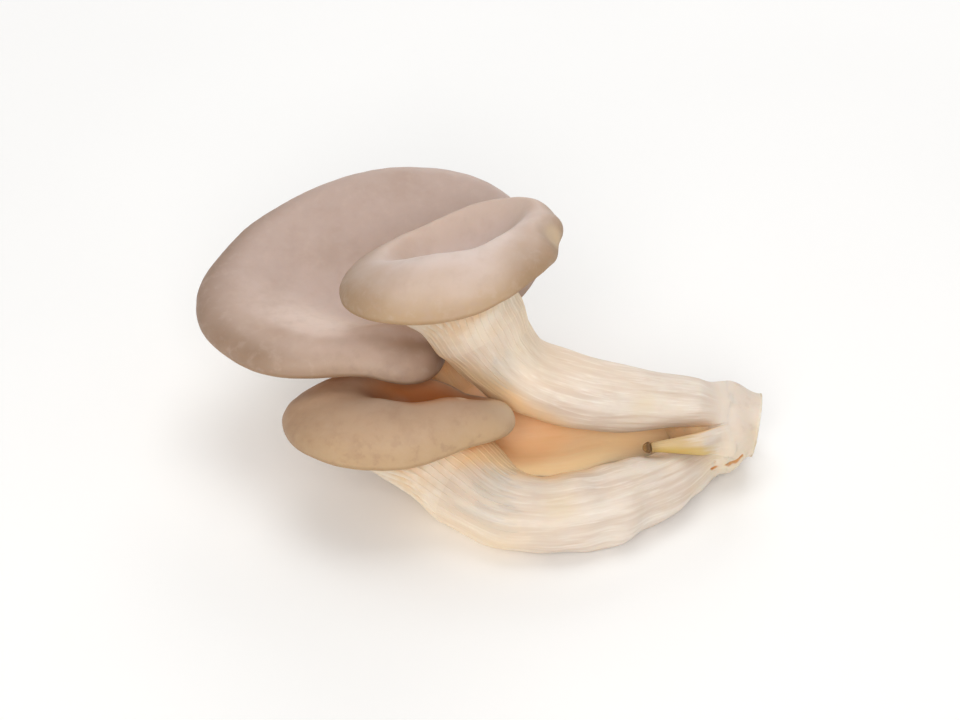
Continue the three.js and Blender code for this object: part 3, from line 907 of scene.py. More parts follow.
def cut_face(edge, seed):
    """Rings that shrink from the edge to its middle, roughened along X, the outermost drawn back a
    little so that the edge is soft."""
    share = np.linspace(0.96, 0.03, 26)[:, None, None]
    middle = edge.mean(0)
    face = middle + (edge - middle) * share
    rough = 0.22 * swell(face, seed + 1, 2.2) + 0.3 * swell(face, seed + 2, 6)
    face[..., 0] += rough * smooth(0, 0.3, 1 - share[..., 0]) - 0.25 * smooth(0.7, 1, share[..., 0])
    return face


def butt_rings(columns, seed):
    """First the flesh between the stems, then the side from the stems to the cut, with threads,
    broad ridges and lumps added to it, then the cut face."""
    angle = ring_angles(columns)
    joined = joined_flesh(angle, seed)
    v, around = np.meshgrid(np.linspace(0, 1, 60), angle, indexing="ij")
    side = np.concatenate([joined, butt_point(around, v)])
    v = np.concatenate([np.zeros(joined.shape[:2]), v])
    around = np.broadcast_to(angle, v.shape)
    along = side[..., 0] - BUTT_X
    thread = fibres(around, along, seed, columns / 9, 1.3)
    ridge = fibres(around, along, seed + 5, 9, 0.7, 5)
    lift = smooth(0, 0.2, v) * (0.1 * thread + 0.3 * ridge) + BUTT_LUMPS * swell(side, seed, 7)
    lift = lift + BUTT_START * (1 - smooth(0, 0.5, v))
    side = side + outward(side) * (lift * (1 - 0.6 * smooth(0.9, 1, v)))[..., None]
    face = cut_face(side[-1], seed)
    grid = np.concatenate([side, face])
    grid[..., 2] = np.maximum(grid[..., 2], 0)
    return {
        "grid": grid,
        "grain": np.concatenate([thread_place(BUTT_WIDE, around, along), face * [0.3, 1, 1]]),
        "cut": np.concatenate([smooth(0.93, 1, v), np.ones(face.shape[:2])]),
    }


butt_skin = butt_rings(BUTT_COLUMNS, BUTT_SEED)
print("butt rings and corners:", butt_skin["grid"].shape[:2])

# %% [markdown]
# ## The tear
# Low on the front of the butt another stem was pulled away, and left a crooked line of torn,
# browned flesh. It runs over the front stem and the butt, so both skins are pressed in by the
# same rule: how far each point lies from the line, with the points shaken a little so that the
# line doesn't look ruled.

# %% Pressed into both skins
# places along the torn line, in mm
TEAR = [[54.6, 18, 8.9], [57, 18.2, 8.1], [59.4, 19.6, 8.2], [61.6, 21.4, 8.6]]
for skin in (butt_skin, stem_skins["front"]):
    crooked = skin["grid"] + 0.5 * swell(skin["grid"], 40, 2.5)[..., None]
    skin["grid"], skin["torn"] = press(skin["grid"], far_from(crooked, TEAR), 0.75, 0.45)
    print("deepest share of the tear:", round(float(skin["torn"].max()), 2))

# %% [markdown]
# ## The pin's button
# The stunted mushroom ends in a cap the size of a match head, darker round its rim. It is round
# enough to be turned about the stalk's end, like a bead on a lathe.

# %% The button's rings
# its outline from the top, each as radius and height in mm
BUTTON = [[0.15, 1.7], [0.5, 1.6], [0.85, 1.3], [1.15, 0.8], [1.3, 0.35], [1.2, 0.0], [0.8, -0.1]]


def button_rings(columns):
    """The button's outline turned about the stalk's end: middle + radius around + height along."""
    stations, frames = paths["pin"]
    tip = {key: frames[key][-1] for key in ("middle", "heading", "side", "across")}
    angle = ring_angles(columns)
    step = np.linspace(0, 1, 36)
    radius = along_stations(BUTTON, 0, step)[:, None] * (1 + 0.06 * np.sin(3 * angle + 1))
    height = along_stations(BUTTON, 1, step)[:, None] + 0.3
    grid = tip["middle"] + (height + 0 * angle)[..., None] * tip["heading"]
    grid = grid + (radius * np.cos(angle))[..., None] * tip["side"]
    grid = grid + (radius * np.sin(angle))[..., None] * tip["across"]
    return {"grid": grid, "rim": np.repeat(smooth(0.2, 0.55, step)[:, None], columns, 1)}


button_skin = button_rings(72)
print("button rings and corners:", button_skin["grid"].shape[:2])

# %% [markdown]
# ## Where light doesn't reach
# Where pale wet flesh faces other flesh, light is passed back and forth and loses its blue each
# time, so the shade there is amber. That shade is painted into the colour by how enclosed a point
# is, which can be worked out beforehand. Every skin is cut into a few hundred patches, and each
# point adds up how much of its view the patches fill. The sum is over 1 where patches lie close
# behind each other, which only makes the painted tint full.


# %% Patches and how much they hide
def patches(grid, rows, columns):
    """Middles, outward area vectors and the cell edges of a coarse grid over the fine one."""
    i = np.round(np.linspace(0, grid.shape[0] - 1, rows + 1)).astype(int)
    j = np.round(np.linspace(0, grid.shape[1], columns + 1)).astype(int) % grid.shape[1]
    g = grid[i][:, j]
    a, b, c, d = g[:-1, :-1], g[1:, :-1], g[1:, 1:], g[:-1, 1:]
    area = np.cross(c - a, d - b) / 2
    middle = (a + b + c + d) / 4
    facing = np.sign(np.sum(outward(grid)[i][:-1, j[:-1]] * area))
    return middle, area * facing, i


def hidden(places, normals, middles, areas):
    """Sum over the patches of area x cos x cos / (pi distance^2 + area)."""
    gap = middles[None] - places[:, None]
    square = np.einsum("ijk,ijk->ij", gap, gap) + 1e-6
    far = np.sqrt(square)
    seen = np.einsum("ijk,ik->ij", gap, normals) / far
    size = np.linalg.norm(areas, axis=-1)
    faced = -np.einsum("ijk,jk->ij", gap, areas / size[:, None]) / far
    share = size[None] * np.clip(seen, 0, 1) * np.clip(faced, 0, 1) / (np.pi * square + size[None])
    return share.sum(1)


def spread_out(coarse, edges, shape):
    """Values of the coarse cells carried to every fine grid point, straight lines between."""
    rows, columns = shape
    n = coarse.shape[1]
    middles = (edges[:-1] + edges[1:]) / 2
    tall = np.stack([np.interp(np.arange(rows), middles, coarse[:, k]) for k in range(n)], 1)
    x = np.arange(columns) / columns * n - 0.5
    k = np.floor(x).astype(int)
    f = x - k
    return tall[:, k % n] * (1 - f) + tall[:, (k + 1) % n] * f


# %% Add them up for every skin
# each skin with the rows and columns of patches that it is cut into
skins = {f"cap_{k}": (v["grid"], 26, 36) for k, v in cap_skins.items()}
skins |= {f"gills_{k}": (v["grid"][:OUTER_RINGS], 12, 36) for k, v in gill_skins.items()}
skins |= {f"stem_{k}": (v["grid"], 26, 24) for k, v in stem_skins.items()}
skins |= {"butt": (butt_skin["grid"], 12, 24), "button": (button_skin["grid"], 6, 10)}
cut_up = {name: patches(*skin) for name, skin in skins.items()}
all_middles = np.concatenate([middle.reshape(-1, 3) for middle, area, edges in cut_up.values()])
all_areas = np.concatenate([area.reshape(-1, 3) for middle, area, edges in cut_up.values()])
real = np.linalg.norm(all_areas, axis=-1) > 1e-4
all_middles, all_areas = all_middles[real], all_areas[real]
# how enclosed each point is, which sets the painted amber shade
painted_shade = {}
for name, (middle, area, edges) in cut_up.items():
    normals = unit(area.reshape(-1, 3))
    places = middle.reshape(-1, 3) + normals * 0.2
    parts = zip(np.array_split(places, 4), np.array_split(normals, 4))
    value = np.concatenate([hidden(p, n, all_middles, all_areas) for p, n in parts])
    painted_shade[name] = spread_out(value.reshape(middle.shape[:2]), edges, skins[name][0].shape[:2])
deepest = {name: round(float(values.max()), 2) for name, values in painted_shade.items()}
print("patches:", len(all_middles), "most enclosed:", deepest)

# %% [markdown]
# ## Writing materials as sums
# A material is a little calculation: noise, times a colour, mixed where a mask says. Drawn as a
# node tree it is hard to read, so one small class lets the same calculation be written as an
# expression. Numbers go through Math nodes, colours through Mix nodes.


# %% One class for all shader sums
class Flow:
    """A socket of a node tree. + - * between flows or with numbers add Math nodes."""

    def __init__(self, tree, socket=None):
        self.tree, self.socket = tree, socket

    def node(self, kind, settings=None, inputs=None, output=0):
        """Adds a node of this kind: first its settings, then each socket's value or link."""
        new = self.tree.nodes.new(kind)
        for key, value in (settings or {}).items():
            setattr(new, key, value)
        for key, value in (inputs or {}).items():
            if isinstance(value, Flow):
                self.tree.links.new(value.socket, new.inputs[key])
            else:
                new.inputs[key].default_value = value
        return Flow(self.tree, new.outputs[output])

    def sum(self, operation, first, second):
        """first (operation) second, as a Math node."""
        return self.node("ShaderNodeMath", {"operation": operation}, {0: first, 1: second})

    def __add__(self, other):
        return self.sum("ADD", self, other)

    __radd__ = __add__

    def __sub__(self, other):
        return self.sum("SUBTRACT", self, other)

    def __rsub__(self, other):
        return self.sum("SUBTRACT", other, self)

    def __mul__(self, other):
        return self.sum("MULTIPLY", self, other)

    __rmul__ = __mul__

    def between(self, low, high):
        """0 below low, 1 above high, an S curve between."""
        return self.node(
            "ShaderNodeMapRange",
            {"interpolation_type": "SMOOTHSTEP"},
            {"Value": self, "From Min": low, "From Max": high},
        )

    def tint(self, a, b):
        """The colour a where this is 0, b where it is 1."""
        settings = {"data_type": "RGBA", "clamp_factor": True}
        return self.node("ShaderNodeMix", settings, {0: self, 6: a, 7: b}, output=2)

    def stored(self, name, output="Fac"):
        """A number or vector that the mesh keeps under this name."""
        return self.node("ShaderNodeAttribute", {"attribute_name": name}, output=output)

    def cloud(self, scale, detail=2.0, place=None, rough=0.5):
        """Noise, 0 to 1, on Object coordinates in metres unless another place is given."""
        if place is None:
            place = self.node("ShaderNodeTexCoord", output="Object")
        return self.node(
            "ShaderNodeTexNoise",
            inputs={"Vector": place, "Scale": scale, "Detail": detail, "Roughness": rough},
        )


def colour(red, green, blue):
    """A screen colour of 0 to 255 as the linear numbers a shader works in."""
    v = np.array([red, green, blue]) / 255
    v = np.where(v > 0.04045, ((v + 0.055) / 1.055) ** 2.4, v / 12.92)
    return (*[float(x) for x in v], 1.0)


PAINTED_GLOW_STRENGTH = 0.36  # strength of the painted glow: emission that paints light where thin flesh lies in shade


def finish(name, recipe, glow, reach):
    """A material whose recipe gives colour, roughness, bump height and its depth in mm, and maybe
    the colour of a painted glow, given off as emission. glow is how much light wanders
    inside, reach how far in mm its red part gets."""
    material = bpy.data.materials.new(name)
    material.use_nodes = True
    tree = material.node_tree
    tree.nodes.clear()
    base, rough, height, depth, *through = recipe(Flow(tree))
    start = Flow(tree)
    light = {}
    # a painted glow, given off as emission, where the recipe gives one
    if through:
        light = {"Emission Color": through[0], "Emission Strength": PAINTED_GLOW_STRENGTH}
    bump = start.node(
        "ShaderNodeBump", inputs={"Strength": 1.0, "Distance": depth * MM, "Height": height}
    )
    surface = start.node(
        "ShaderNodeBsdfPrincipled",
        {"subsurface_method": "RANDOM_WALK"},
        {
            "Base Color": base,
            "Roughness": rough,
            "Normal": bump,
            "Subsurface Weight": glow,
            "Subsurface Radius": (1.0, 0.55, 0.32),
            "Subsurface Scale": reach * MM,
            "Specular IOR Level": 0.4,
        }
        | light,
    )
    out = tree.nodes.new("ShaderNodeOutputMaterial")
    tree.links.new(surface.socket, out.inputs["Surface"])
    print("finish:", name, len(tree.nodes), "nodes")
    return material


print("mid grey in linear light:", colour(188, 188, 188)[0])

# %% [markdown]
# ## Cap skin
# The skin of an oyster cap is satin and pinkish grey-beige. From the middle outward it passes
# over a slope and a crest to a browner band and the margin, with clouds and fine mottles all
# over. The crest carries a painted highlight on the near side, and the near and far sides take lit
# and shaded copies of each tone: painted light and shade. One recipe makes all three caps,
# because they differ in their tones and not in how those lie. Each cap's side-facing edges are
# painted darker as painted shade, and where a hollow is deep and shut in, light bounces inside it
# and the shade there is painted amber. Colours are layered one over another, each with a mask that
# comes from the mesh or from noise.

# %% The tones of each cap
# middle, slope and margin lie from the hub outward on the near side, back and far on the far side;
# these near and far tones are lit and shaded copies, painted light and shade, and the front cap's
# far tones are painted lighter to lift the shadow of the rear cap; ridge is the painted highlight
# on the crest and also the pale mottle, band the browner strip beyond it and banded how strong
# that strip is; deep is the painted amber shade of a shut-in hollow and deepest how strong it gets;
# side is the painted shade on the side-facing edges
CAP_TONES = {
    "upper": {
        "middle": (230, 215, 212), "slope": (220, 203, 197), "margin": (186, 156, 122),
        "far": (178, 152, 130), "back": (204, 182, 169), "cloud": (186, 160, 142),
        "ridge": (212, 194, 184), "band": (196, 168, 146), "banded": 0.35,
        "deep": (196, 160, 134), "deepest": 0.15, "pale": (208, 184, 154),
        "side": (140, 108, 76),
    },
    "rear": {
        "middle": (195, 172, 161), "slope": (213, 190, 178), "margin": (199, 172, 150),
        "far": (199, 177, 166), "back": (187, 164, 153), "cloud": (170, 144, 128),
        "ridge": (218, 197, 184), "band": (178, 150, 131), "banded": 0.6,
        "deep": (206, 160, 118), "deepest": 0.5, "pale": (214, 194, 176),
        "side": (120, 89, 61),
    },
    "front": {
        "middle": (190, 156, 130), "slope": (188, 157, 134), "margin": (192, 161, 124),
        "far": (206, 170, 138), "back": (202, 170, 142), "cloud": (160, 126, 100),
        "ridge": (200, 173, 148), "band": (190, 159, 131), "banded": 0.35,
        "deep": (186, 106, 26), "deepest": 1.0, "pale": (228, 204, 174),
        "side": (144, 111, 84),
    },
}  # fmt: skip
TURNED_UNDER = colour(150, 116, 76)
SCAR = colour(112, 80, 50)


# %% One recipe for the three skins
def cap_recipe(tones):
    """Colour from the middle outward, in lit tones on the near side and shaded ones on the far side
    (painted light and shade), a painted highlight on the crest and a browner band beyond it on the
    near side, painted shade on the side-facing edges, clouds, a thin dark line where the margin
    turns under, then the painted amber shade of a shut-in hollow and the marks. The bump is faint
    radial threads and two sizes of grain."""
    strength = ("deepest", "banded")
    tone = {name: colour(*value) for name, value in tones.items() if name not in strength}

    def recipe(f):
        out = f.stored("out")
        wander = f.cloud(90, 3) * 0.16 - 0.08
        # lit and shaded copies of the slope's tone: painted light and shade on the near and far sides
        slope = f.stored("near").tint(tone["back"], tone["slope"])
        base = (out + wander).between(0.14, 0.44).tint(tone["middle"], slope)
        # painted highlight along the crest
        base = (f.stored("ridge") * 0.85).tint(base, tone["ridge"])
        base = (f.stored("band") * (tones["banded"] + wander * 5)).tint(base, tone["band"])
        # lit and shaded copies of the margin's tone, painted light and shade
        edge = f.stored("near").tint(tone["far"], tone["margin"])
        base = (out + wander * 0.9).between(0.52, 1.0).tint(base, edge)
        # painted shade on the side-facing edges, with the rear cap's real stain
        base = (f.stored("side") * (0.62 + wander * 3)).tint(base, tone["side"])
        clouds = f.cloud(75, 4, rough=0.62).between(0.46, 0.72)
        base = (clouds * 0.4).tint(base, tone["cloud"])
        rim = out.between(0.6, 0.95)
        mottle = f.cloud(330, 4, rough=0.6)
        base = (mottle.between(0.5, 0.7) * (0.1 + 0.06 * rim)).tint(base, tone["ridge"])
        base = (mottle.between(0.5, 0.32) * (0.12 + 0.26 * rim)).tint(base, tone["cloud"])
        line = (out + wander * 0.1).between(0.965, 1.0) - out.between(1.02, 1.12)
        base = (line * 0.45).tint(base, TURNED_UNDER)
        # painted amber shade where a hollow is shut in
        shade_mask = f.stored("painted_shade").between(0.38, 0.85) * (1 - out.between(0.35, 0.62))
        base = (shade_mask * tones["deepest"]).tint(base, tone["deep"])
        base = (f.stored("pale").between(0.05, 0.7) * 0.75).tint(base, tone["pale"])
        base = (f.stored("scar").between(0.2, 0.8) * 0.8).tint(base, SCAR)
        rough = 0.46 + 0.2 * f.cloud(160, 3)
        threads = f.cloud(1.1, 3, f.stored("grain", "Vector"))
        height = 0.1 * threads + 0.35 * f.cloud(420, 3) + 0.2 * f.cloud(1500, 2)
        return base, rough, height, 0.12

    return recipe


cap_finishes = {
    name: finish(f"{name}_cap_skin", cap_recipe(tones), 0.22, 2.4)
    for name, tones in CAP_TONES.items()
}

# %% [markdown]
# ## Gill, stem and cut flesh
# Below the skin the flesh is creamy white. On the stems it is fibrous: broad patches of cream and
# beige, and over them thin darker and paler streaks that run along the stem. Noise that is read
# on a stretched cylinder gives such streaks, and unlike a wave pattern it never repeats. Deep
# between the gills and where stems face each other the shade is painted into the colour as amber.
# In the gap between the stems, low on the front stem and on the upper one's right edge, a faint
# warm emission makes the flesh glow: painted light. It is stored on the mesh, so that it stays in
# its place from every side.

# %% Tones of the flesh
CREAM = colour(240, 226, 208)
# the two tints of painted amber shade where flesh is enclosed
PAINTED_SHADE_AMBER = colour(252, 210, 152)
PAINTED_DEEP_SHADE_AMBER = colour(224, 142, 70)
BEIGE_PATCH = colour(217, 199, 183)
CREAM_PATCH = colour(232, 220, 207)
DARK_STREAK = colour(206, 181, 156)
PALE_STREAK = colour(248, 241, 232)
THIN_STREAK = colour(208, 188, 168)
SMUDGE = colour(212, 196, 182)
YELLOW_STAIN = colour(230, 208, 166)
UNDER_CAP = colour(218, 195, 168)
TORN = colour(204, 138, 70)


# %% Stem flesh, which the other recipes start from
def fibrous(f):
    """Stem flesh as (colour, roughness, height): broad patches, thin streaks along the stem that
    die out at the butt, soft smudges, a warmer end under the cap, painted amber shade where
    enclosed, and brown where it is torn."""
    grain = f.stored("grain", "Vector")
    beside = f.node("ShaderNodeMapping", inputs={"Vector": grain, "Location": (7.0, 3.0, 5.0)})
    calm = f.stored("share").between(0.02, 0.16)
    patch = f.cloud(0.34, 3, grain, 0.6).between(0.38, 0.62) * calm + 0.5 * (1 - calm)
    streak = f.cloud(0.85, 4, grain, 0.6)
    pale = f.cloud(1.1, 3, beside, 0.6)
    fine = f.cloud(3.2, 3, grain, 0.6)
    base = patch.tint(BEIGE_PATCH, CREAM_PATCH)
    base = (streak.between(0.54, 0.74) * 0.5 * calm).tint(base, DARK_STREAK)
    base = (pale.between(0.52, 0.72) * 0.45 * calm).tint(base, PALE_STREAK)
    base = (fine.between(0.5, 0.7) * 0.14 * calm).tint(base, THIN_STREAK)
    smudge = f.cloud(120, 3, rough=0.6)
    base = (smudge.between(0.5, 0.7) * 0.3).tint(base, SMUDGE)
    stain = f.cloud(45, 2).between(0.52, 0.7)
    base = (stain * 0.35).tint(base, YELLOW_STAIN)
    base = (f.stored("share").between(0.5, 1.0) * 0.4).tint(base, UNDER_CAP)
    # painted amber shade where the flesh is enclosed
    shade_mask = f.stored("painted_shade")
    base = (shade_mask.between(0.2, 0.55) * 0.7).tint(base, PAINTED_SHADE_AMBER)
    base = (shade_mask.between(0.6, 1.05) * 0.3).tint(base, PAINTED_DEEP_SHADE_AMBER)
    torn = (f.stored("torn") + 0.35 * smudge).between(0.35, 0.75)
    base = (torn * 0.9).tint(base, TORN)
    return base, 0.5 + 0.2 * fine, 0.5 * streak + 0.35 * fine * calm


# %% Gills, stems, butt and pin
def painted_glow_colour(f):
    """A warm emission colour for the painted glow, as much of it as the mesh says."""
    return f.stored("painted_glow").tint(colour(0, 0, 0), colour(255, 228, 180))


def gill_recipe(f):
    """Cream blades, painted warm shade in the valleys, painted amber shade where enclosed, and stem
    flesh further down.
    """
    below, rough, height = fibrous(f)
    base = f.cloud(260, 3).between(0.35, 0.7).tint(CREAM, colour(226, 202, 174))
    # painted shade in the valleys between the blades
    base = (f.stored("hollow") * 0.6).tint(base, colour(214, 172, 124))
    # painted amber shade where the gills are enclosed
    shade_mask = f.stored("painted_shade")
    base = (shade_mask.between(0.25, 0.9) * 0.6).tint(base, PAINTED_SHADE_AMBER)
    base = (shade_mask.between(0.5, 0.95) * 0.65).tint(base, PAINTED_DEEP_SHADE_AMBER)
    base = f.stored("along").between(0.72, 1.15).tint(base, below)
    return base, rough + 0.05, height, 0.1, painted_glow_colour(f)


def stem_recipe(f):
    """Stem flesh as it is."""
    return *fibrous(f), 0.14, painted_glow_colour(f)


def butt_recipe(f):
    """As the stems with small bruises, and on the cut face pale, spongy and stained at the edge."""
    base, rough, height = fibrous(f)
    cut = f.stored("cut")
    sponge = f.cloud(520, 4, rough=0.65)
    face = sponge.between(0.4, 0.68).tint(colour(246, 238, 226), colour(232, 212, 184))
    base = (cut * 0.9).tint(base, face)
    edge = cut.between(0.02, 0.5) - cut.between(0.8, 1.0)
    base = (edge * 0.7 * f.cloud(220, 3).between(0.3, 0.6)).tint(base, colour(188, 156, 122))
    bruise = f.cloud(260, 4, rough=0.6).between(0.52, 0.68) * (1 - cut)
    base = (bruise * 0.3).tint(base, colour(200, 182, 166))
    return base, rough, height + cut * sponge, 0.2


def pin_recipe(f):
    """The stems' flesh at its foot, beige towards its tip, olive yellow on its low near side, with
    brown threads."""
    foot, rough, height = fibrous(f)
    grain = f.stored("grain", "Vector")
    share = f.stored("share") + (f.cloud(1.4, 3, grain) * 0.5 - 0.25)
    base = share.between(0.2, 0.6).tint(foot, colour(208, 180, 134))
    low = f.stored("low") * share.between(0.15, 0.35)
    base = (low * 0.8).tint(base, colour(200, 168, 86))
    threads = f.stored("fibre").between(0.1, 0.6) * share.between(0.3, 0.7)
    base = (threads * 0.5).tint(base, colour(172, 138, 88))
    base = share.between(0.7, 1.1).tint(base, colour(164, 132, 86))
    return base, rough, height, 0.15


def button_recipe(f):
    """Olive-brown, darkest round the rim."""
    base = f.stored("rim").tint(colour(150, 112, 66), colour(104, 74, 38))
    base = (f.cloud(1200, 2).between(0.5, 0.7) * 0.4).tint(base, colour(186, 150, 100))
    return base, 0.45 + 0.1 * f.cloud(900, 2), f.cloud(1600, 2), 0.08


gill_finish = finish("gill_flesh", gill_recipe, 0.3, 3.0)
stem_finish = finish("stem_flesh", stem_recipe, 0.3, 3.2)
butt_finish = finish("cut_flesh", butt_recipe, 0.3, 3.2)
pin_finish = finish("pin_flesh", pin_recipe, 0.25, 2.0)
button_finish = finish("pin_skin", button_recipe, 0.15, 1.0)

# %% [markdown]
# ## The bodies
# Now each skin becomes a mesh that stands for its plain body in the frame. What its material has
# to know is worked out here from the rings and stored on the mesh.

# %% Caps
# where each cap's side-facing edges are painted darker, as painted shade: direction and half width in
# degrees, and how strongly
PAINTED_SIDE_SHADE = {
    "upper": [(190, 50, 0.9), (-35, 45, 0.8)],
    "rear": [(185, 62, 1.0), (0, 45, 0.5), (-70, 24, 0.8)],
    "front": [(180, 45, 0.85), (0, 45, 0.15)],
}
# where each cap's painted highlight on the crest lies, 0 at the hub and 1 at the margin, and the band
# beyond it
CREST_HIGHLIGHT_AT = {"upper": 0.45, "rear": 0.39, "front": 0.45}
BAND_BEYOND = 0.19
CAP_WIDE = 14.0  # radius on which the radial threads are read


def painted_side_shade(name, angle):
    """Sum over the sides painted darker of strength x an S curve of the angle from the side's middle."""
    return sum(
        strength * smooth(np.cos(np.radians(half)), 1, np.cos(angle - np.radians(middle)))
        for middle, half, strength in PAINTED_SIDE_SHADE[name]
    )


for name in caps:
    skin = cap_skins[name]
    angle, out = skin["angle"], skin["out"]
    # the near side faces the camera; the tones it picks between are lit and shaded copies, painted light
    # and shade
    near = smooth(-0.2, 0.5, -np.sin(angle))
    # the front cap's hollow lies open to the left, so less painted amber shade is put there
    sheltered = mix(0.3, 1, smooth(-1, 0.1, np.cos(angle))) if name == "front" else 1.0
    layers = {
        "out": out,
        "grain": np.stack([CAP_WIDE * np.cos(angle), CAP_WIDE * np.sin(angle), 1.4 * out], -1),
        "painted_shade": painted_shade[f"cap_{name}"] * sheltered,
        # on the front cap the pale layer also carries the painted light on its right arm
        "pale": skin.get("pale", 0 * out) + skin.get("arm", 0),
        "scar": skin.get("scar", 0 * out),
        # ridge: the painted highlight on the crest, on the near side
        "ridge": near * bell(out, CREST_HIGHLIGHT_AT[name], 0.13),
        "band": near * bell(out, CREST_HIGHLIGHT_AT[name] + BAND_BEYOND, 0.09),
        "near": near,
        # side: painted shade on the side-facing edges, plus the rear cap's real stain
        "side": painted_side_shade(name, angle) * smooth(0.48, 0.85, out) + skin.get("stain", 0),
    }
    body(f"{name}_cap", skin["grid"], layers, cap_finishes[name], f"cap_{name}")


# %% Where gills and stems get a painted glow
def painted_glow_mask(name, grid, shade_mask):
    """Where the flesh gets a painted glow, 0 to 1: low on the rear stem across the narrow gap,
    low on the left of the front stem, and on the right edge of the upper one."""
    x, y, z = np.moveaxis(grid, -1, 0)
    if name == "rear":
        gap = (1 - smooth(4, 12, z)) * (1 - smooth(27, 34, y)) * (1 - smooth(22, 48, x))
        return gap * smooth(0.1, 0.4, shade_mask)
    if name == "front":
        return 0.5 * (1 - smooth(4, 17, z)) * (1 - smooth(-2, 20, x)) * (1 - smooth(12, 24, y))
    return 0.35 * smooth(4, 11, x) * smooth(27, 36, z) * (1 - smooth(48, 56, z))


# %% Gills
# how strongly each stem takes up the painted amber shade of a crevice: the rear one lies deepest
PAINTED_SHADE_STRENGTH = {"upper": 0.55, "rear": 1.15, "front": 0.5}
for name in caps:
    skin = gill_skins[name]
    shade = np.zeros(skin["grid"].shape[:2])
    shade[:OUTER_RINGS] = painted_shade[f"gills_{name}"]
    layers = {key: skin[key] for key in ("hollow", "along", "grain", "share")}
    layers["painted_shade"] = shade * PAINTED_SHADE_STRENGTH[name]
    layers["painted_glow"] = painted_glow_mask(name, skin["grid"], shade)
    body(f"{name}_gills", skin["grid"], layers, gill_finish, f"gills_{name}", True)

# %% Stems
for name in caps:
    skin = stem_skins[name]
    shade = painted_shade[f"stem_{name}"]
    # the painted amber shade is weaker towards the butt
    deepening = mix(0.6, 1, smooth(0.3, 0.6, skin["share"]))
    layers = {key: skin[key] for key in ("grain", "share")}
    layers["painted_shade"] = shade * deepening * PAINTED_SHADE_STRENGTH[name]
    layers["torn"] = skin.get("torn", 0 * skin["share"])
    layers["painted_glow"] = painted_glow_mask(name, skin["grid"], shade)
    body(f"{name}_stem", skin["grid"], layers, stem_finish, f"stem_{name}")

# %% Butt
layers = {key: butt_skin[key] for key in ("grain", "cut", "torn")}
# painted amber shade on the butt, stronger between the stems
between_stems = 1 - smooth(BUTT_X - 5, BUTT_X - 1, butt_skin["grid"][..., 0])
layers["painted_shade"] = painted_shade["butt"] * mix(0.5, 0.8, between_stems)
body("cut_butt", butt_skin["grid"], layers, butt_finish, "butt")

# %% Pin
LOW_NEAR_SIDE = np.array([0, -0.8, -0.6])
skin = stem_skins["pin"]
layers = {key: skin[key] for key in ("fibre", "grain", "share")}
layers["painted_shade"] = painted_shade["stem_pin"]
layers["low"] = smooth(0.1, 0.9, outward(skin["grid"]) @ LOW_NEAR_SIDE)
body("stunted_pin", skin["grid"], layers, pin_finish, "pin_stalk")
layers = {"rim": button_skin["rim"]}
body("stunted_button", button_skin["grid"], layers, button_finish, "pin_button")

# %% [markdown]
# ## Table, light and camera
# A pale table that turns up into a pale wall gives a bright ground with one soft shadow. Light
# comes from three wide lamps: one above, one behind to the right that edges the stems, and one in
# front that lifts the shadows on the near side. Small lamps would draw hard shadows between the
# stems, and the flesh would look like plaster.

# %% Table and wall
def table_finish(f):
    """Nearly white, matt, with the faintest unevenness."""
    base = f.cloud(6, 2).between(0.3, 0.7).tint(colour(255, 255, 255), colour(253, 253, 253))
    return base, 0.9 + 0.02 * f.cloud(20, 1), f.cloud(300, 1), 0.01


table_material = finish("matt_white", table_finish, 0.0, 1.0)
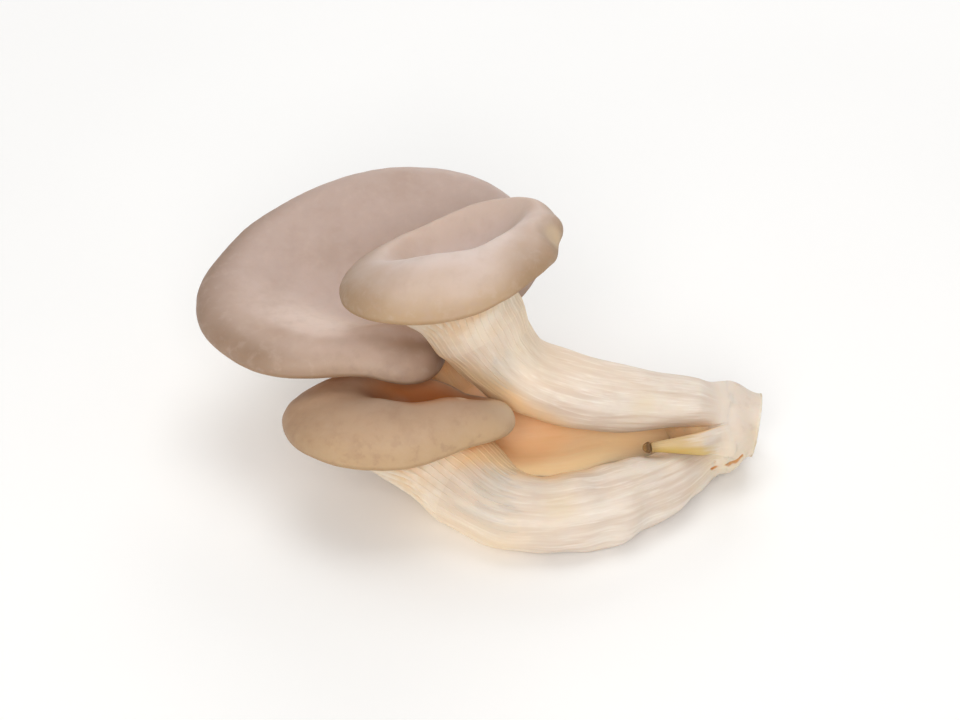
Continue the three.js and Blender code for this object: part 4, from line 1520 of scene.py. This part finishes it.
# half the table's width, where it starts to turn up, the bend's radius and the wall's top, in m
HALF_WIDE, BEND_AT, BEND, WALL_TOP = 6.0, 2.0, 1.5, 6.0
CLEAR = 0.0002  # the table lies this much lower than the cluster, so that no faces coincide
turn = np.linspace(0, np.pi / 2, 17)
table_y = np.concatenate([[-HALF_WIDE], BEND_AT + BEND * np.sin(turn), [BEND_AT + BEND]])
table_z = np.concatenate([[0.0], BEND * (1 - np.cos(turn)), [WALL_TOP]])
table_x = np.tile([-HALF_WIDE, HALF_WIDE], len(table_y))
points = np.stack([table_x, np.repeat(table_y, 2), np.repeat(table_z - CLEAR, 2)], -1)
k = np.arange(len(table_y) - 1) * 2
table_mesh = bpy.data.meshes.new("table")
table_mesh.from_pydata(points.tolist(), [], np.stack([k, k + 1, k + 3, k + 2], -1).tolist())
table_mesh.shade_smooth()
table_mesh.materials.append(table_material)
table = bpy.data.objects.new("table", table_mesh)
bpy.context.scene.collection.objects.link(table)
table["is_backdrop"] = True
print("table:", len(table_mesh.polygons), "faces")


# %% Lamps and the room's light
def lamp(name, place, aim, wide, power, tone):
    """A square lamp at place, turned towards aim."""
    data = bpy.data.lights.new(name, "AREA")
    data.shape, data.size, data.energy, data.color = "SQUARE", wide, power, tone
    item = bpy.data.objects.new(name, data)
    item.location = place
    item.rotation_euler = (Vector(aim) - Vector(place)).to_track_quat("-Z", "Y").to_euler()
    bpy.context.scene.collection.objects.link(item)
    return item


# the middle of the cluster in m, at which the camera and the lamps are aimed
heart = Vector((0.0007, -0.0125, 0.0342))
lamp("overhead", (0.0, 0.1, 0.9), heart, 0.6, 2.6, (1.0, 0.99, 0.97))
lamp("window", (0.15, 0.9, 0.5), heart, 0.5, 2.4, (1.0, 1.0, 1.0))
lamp("front_fill", (-0.05, -0.85, 0.55), heart, 0.5, 4.9, (1.0, 0.98, 0.95))
world = bpy.data.worlds.new("room")
world.use_nodes = True
room = world.node_tree.nodes["Background"]
room.inputs["Color"].default_value = (1.0, 0.995, 0.985, 1.0)
room.inputs["Strength"].default_value = 0.4
bpy.context.scene.world = world

# %% Camera
ELEVATION = np.radians(35)
DISTANCE = 0.613  # in metres from the middle of the cluster
back = Vector((0, -np.cos(ELEVATION), np.sin(ELEVATION)))
camera_data = bpy.data.cameras.new("camera")
camera_data.lens = 100
camera_data.sensor_width = 36
camera = bpy.data.objects.new("camera", camera_data)
camera.location = heart + back * DISTANCE
camera.rotation_euler = (heart - camera.location).to_track_quat("-Z", "Y").to_euler()
bpy.context.scene.collection.objects.link(camera)
bpy.context.scene.camera = camera
bpy.context.scene.view_settings.view_transform = "Standard"
print("camera at", [round(c, 3) for c in camera.location])

# %% Print the size, plain and dressed
visual_box = [list(corner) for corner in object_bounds()]
for label, box in (("plain", cad_box), ("dressed", visual_box)):
    print(label, [[round(1000 * c, 2) for c in corner] for corner in box])
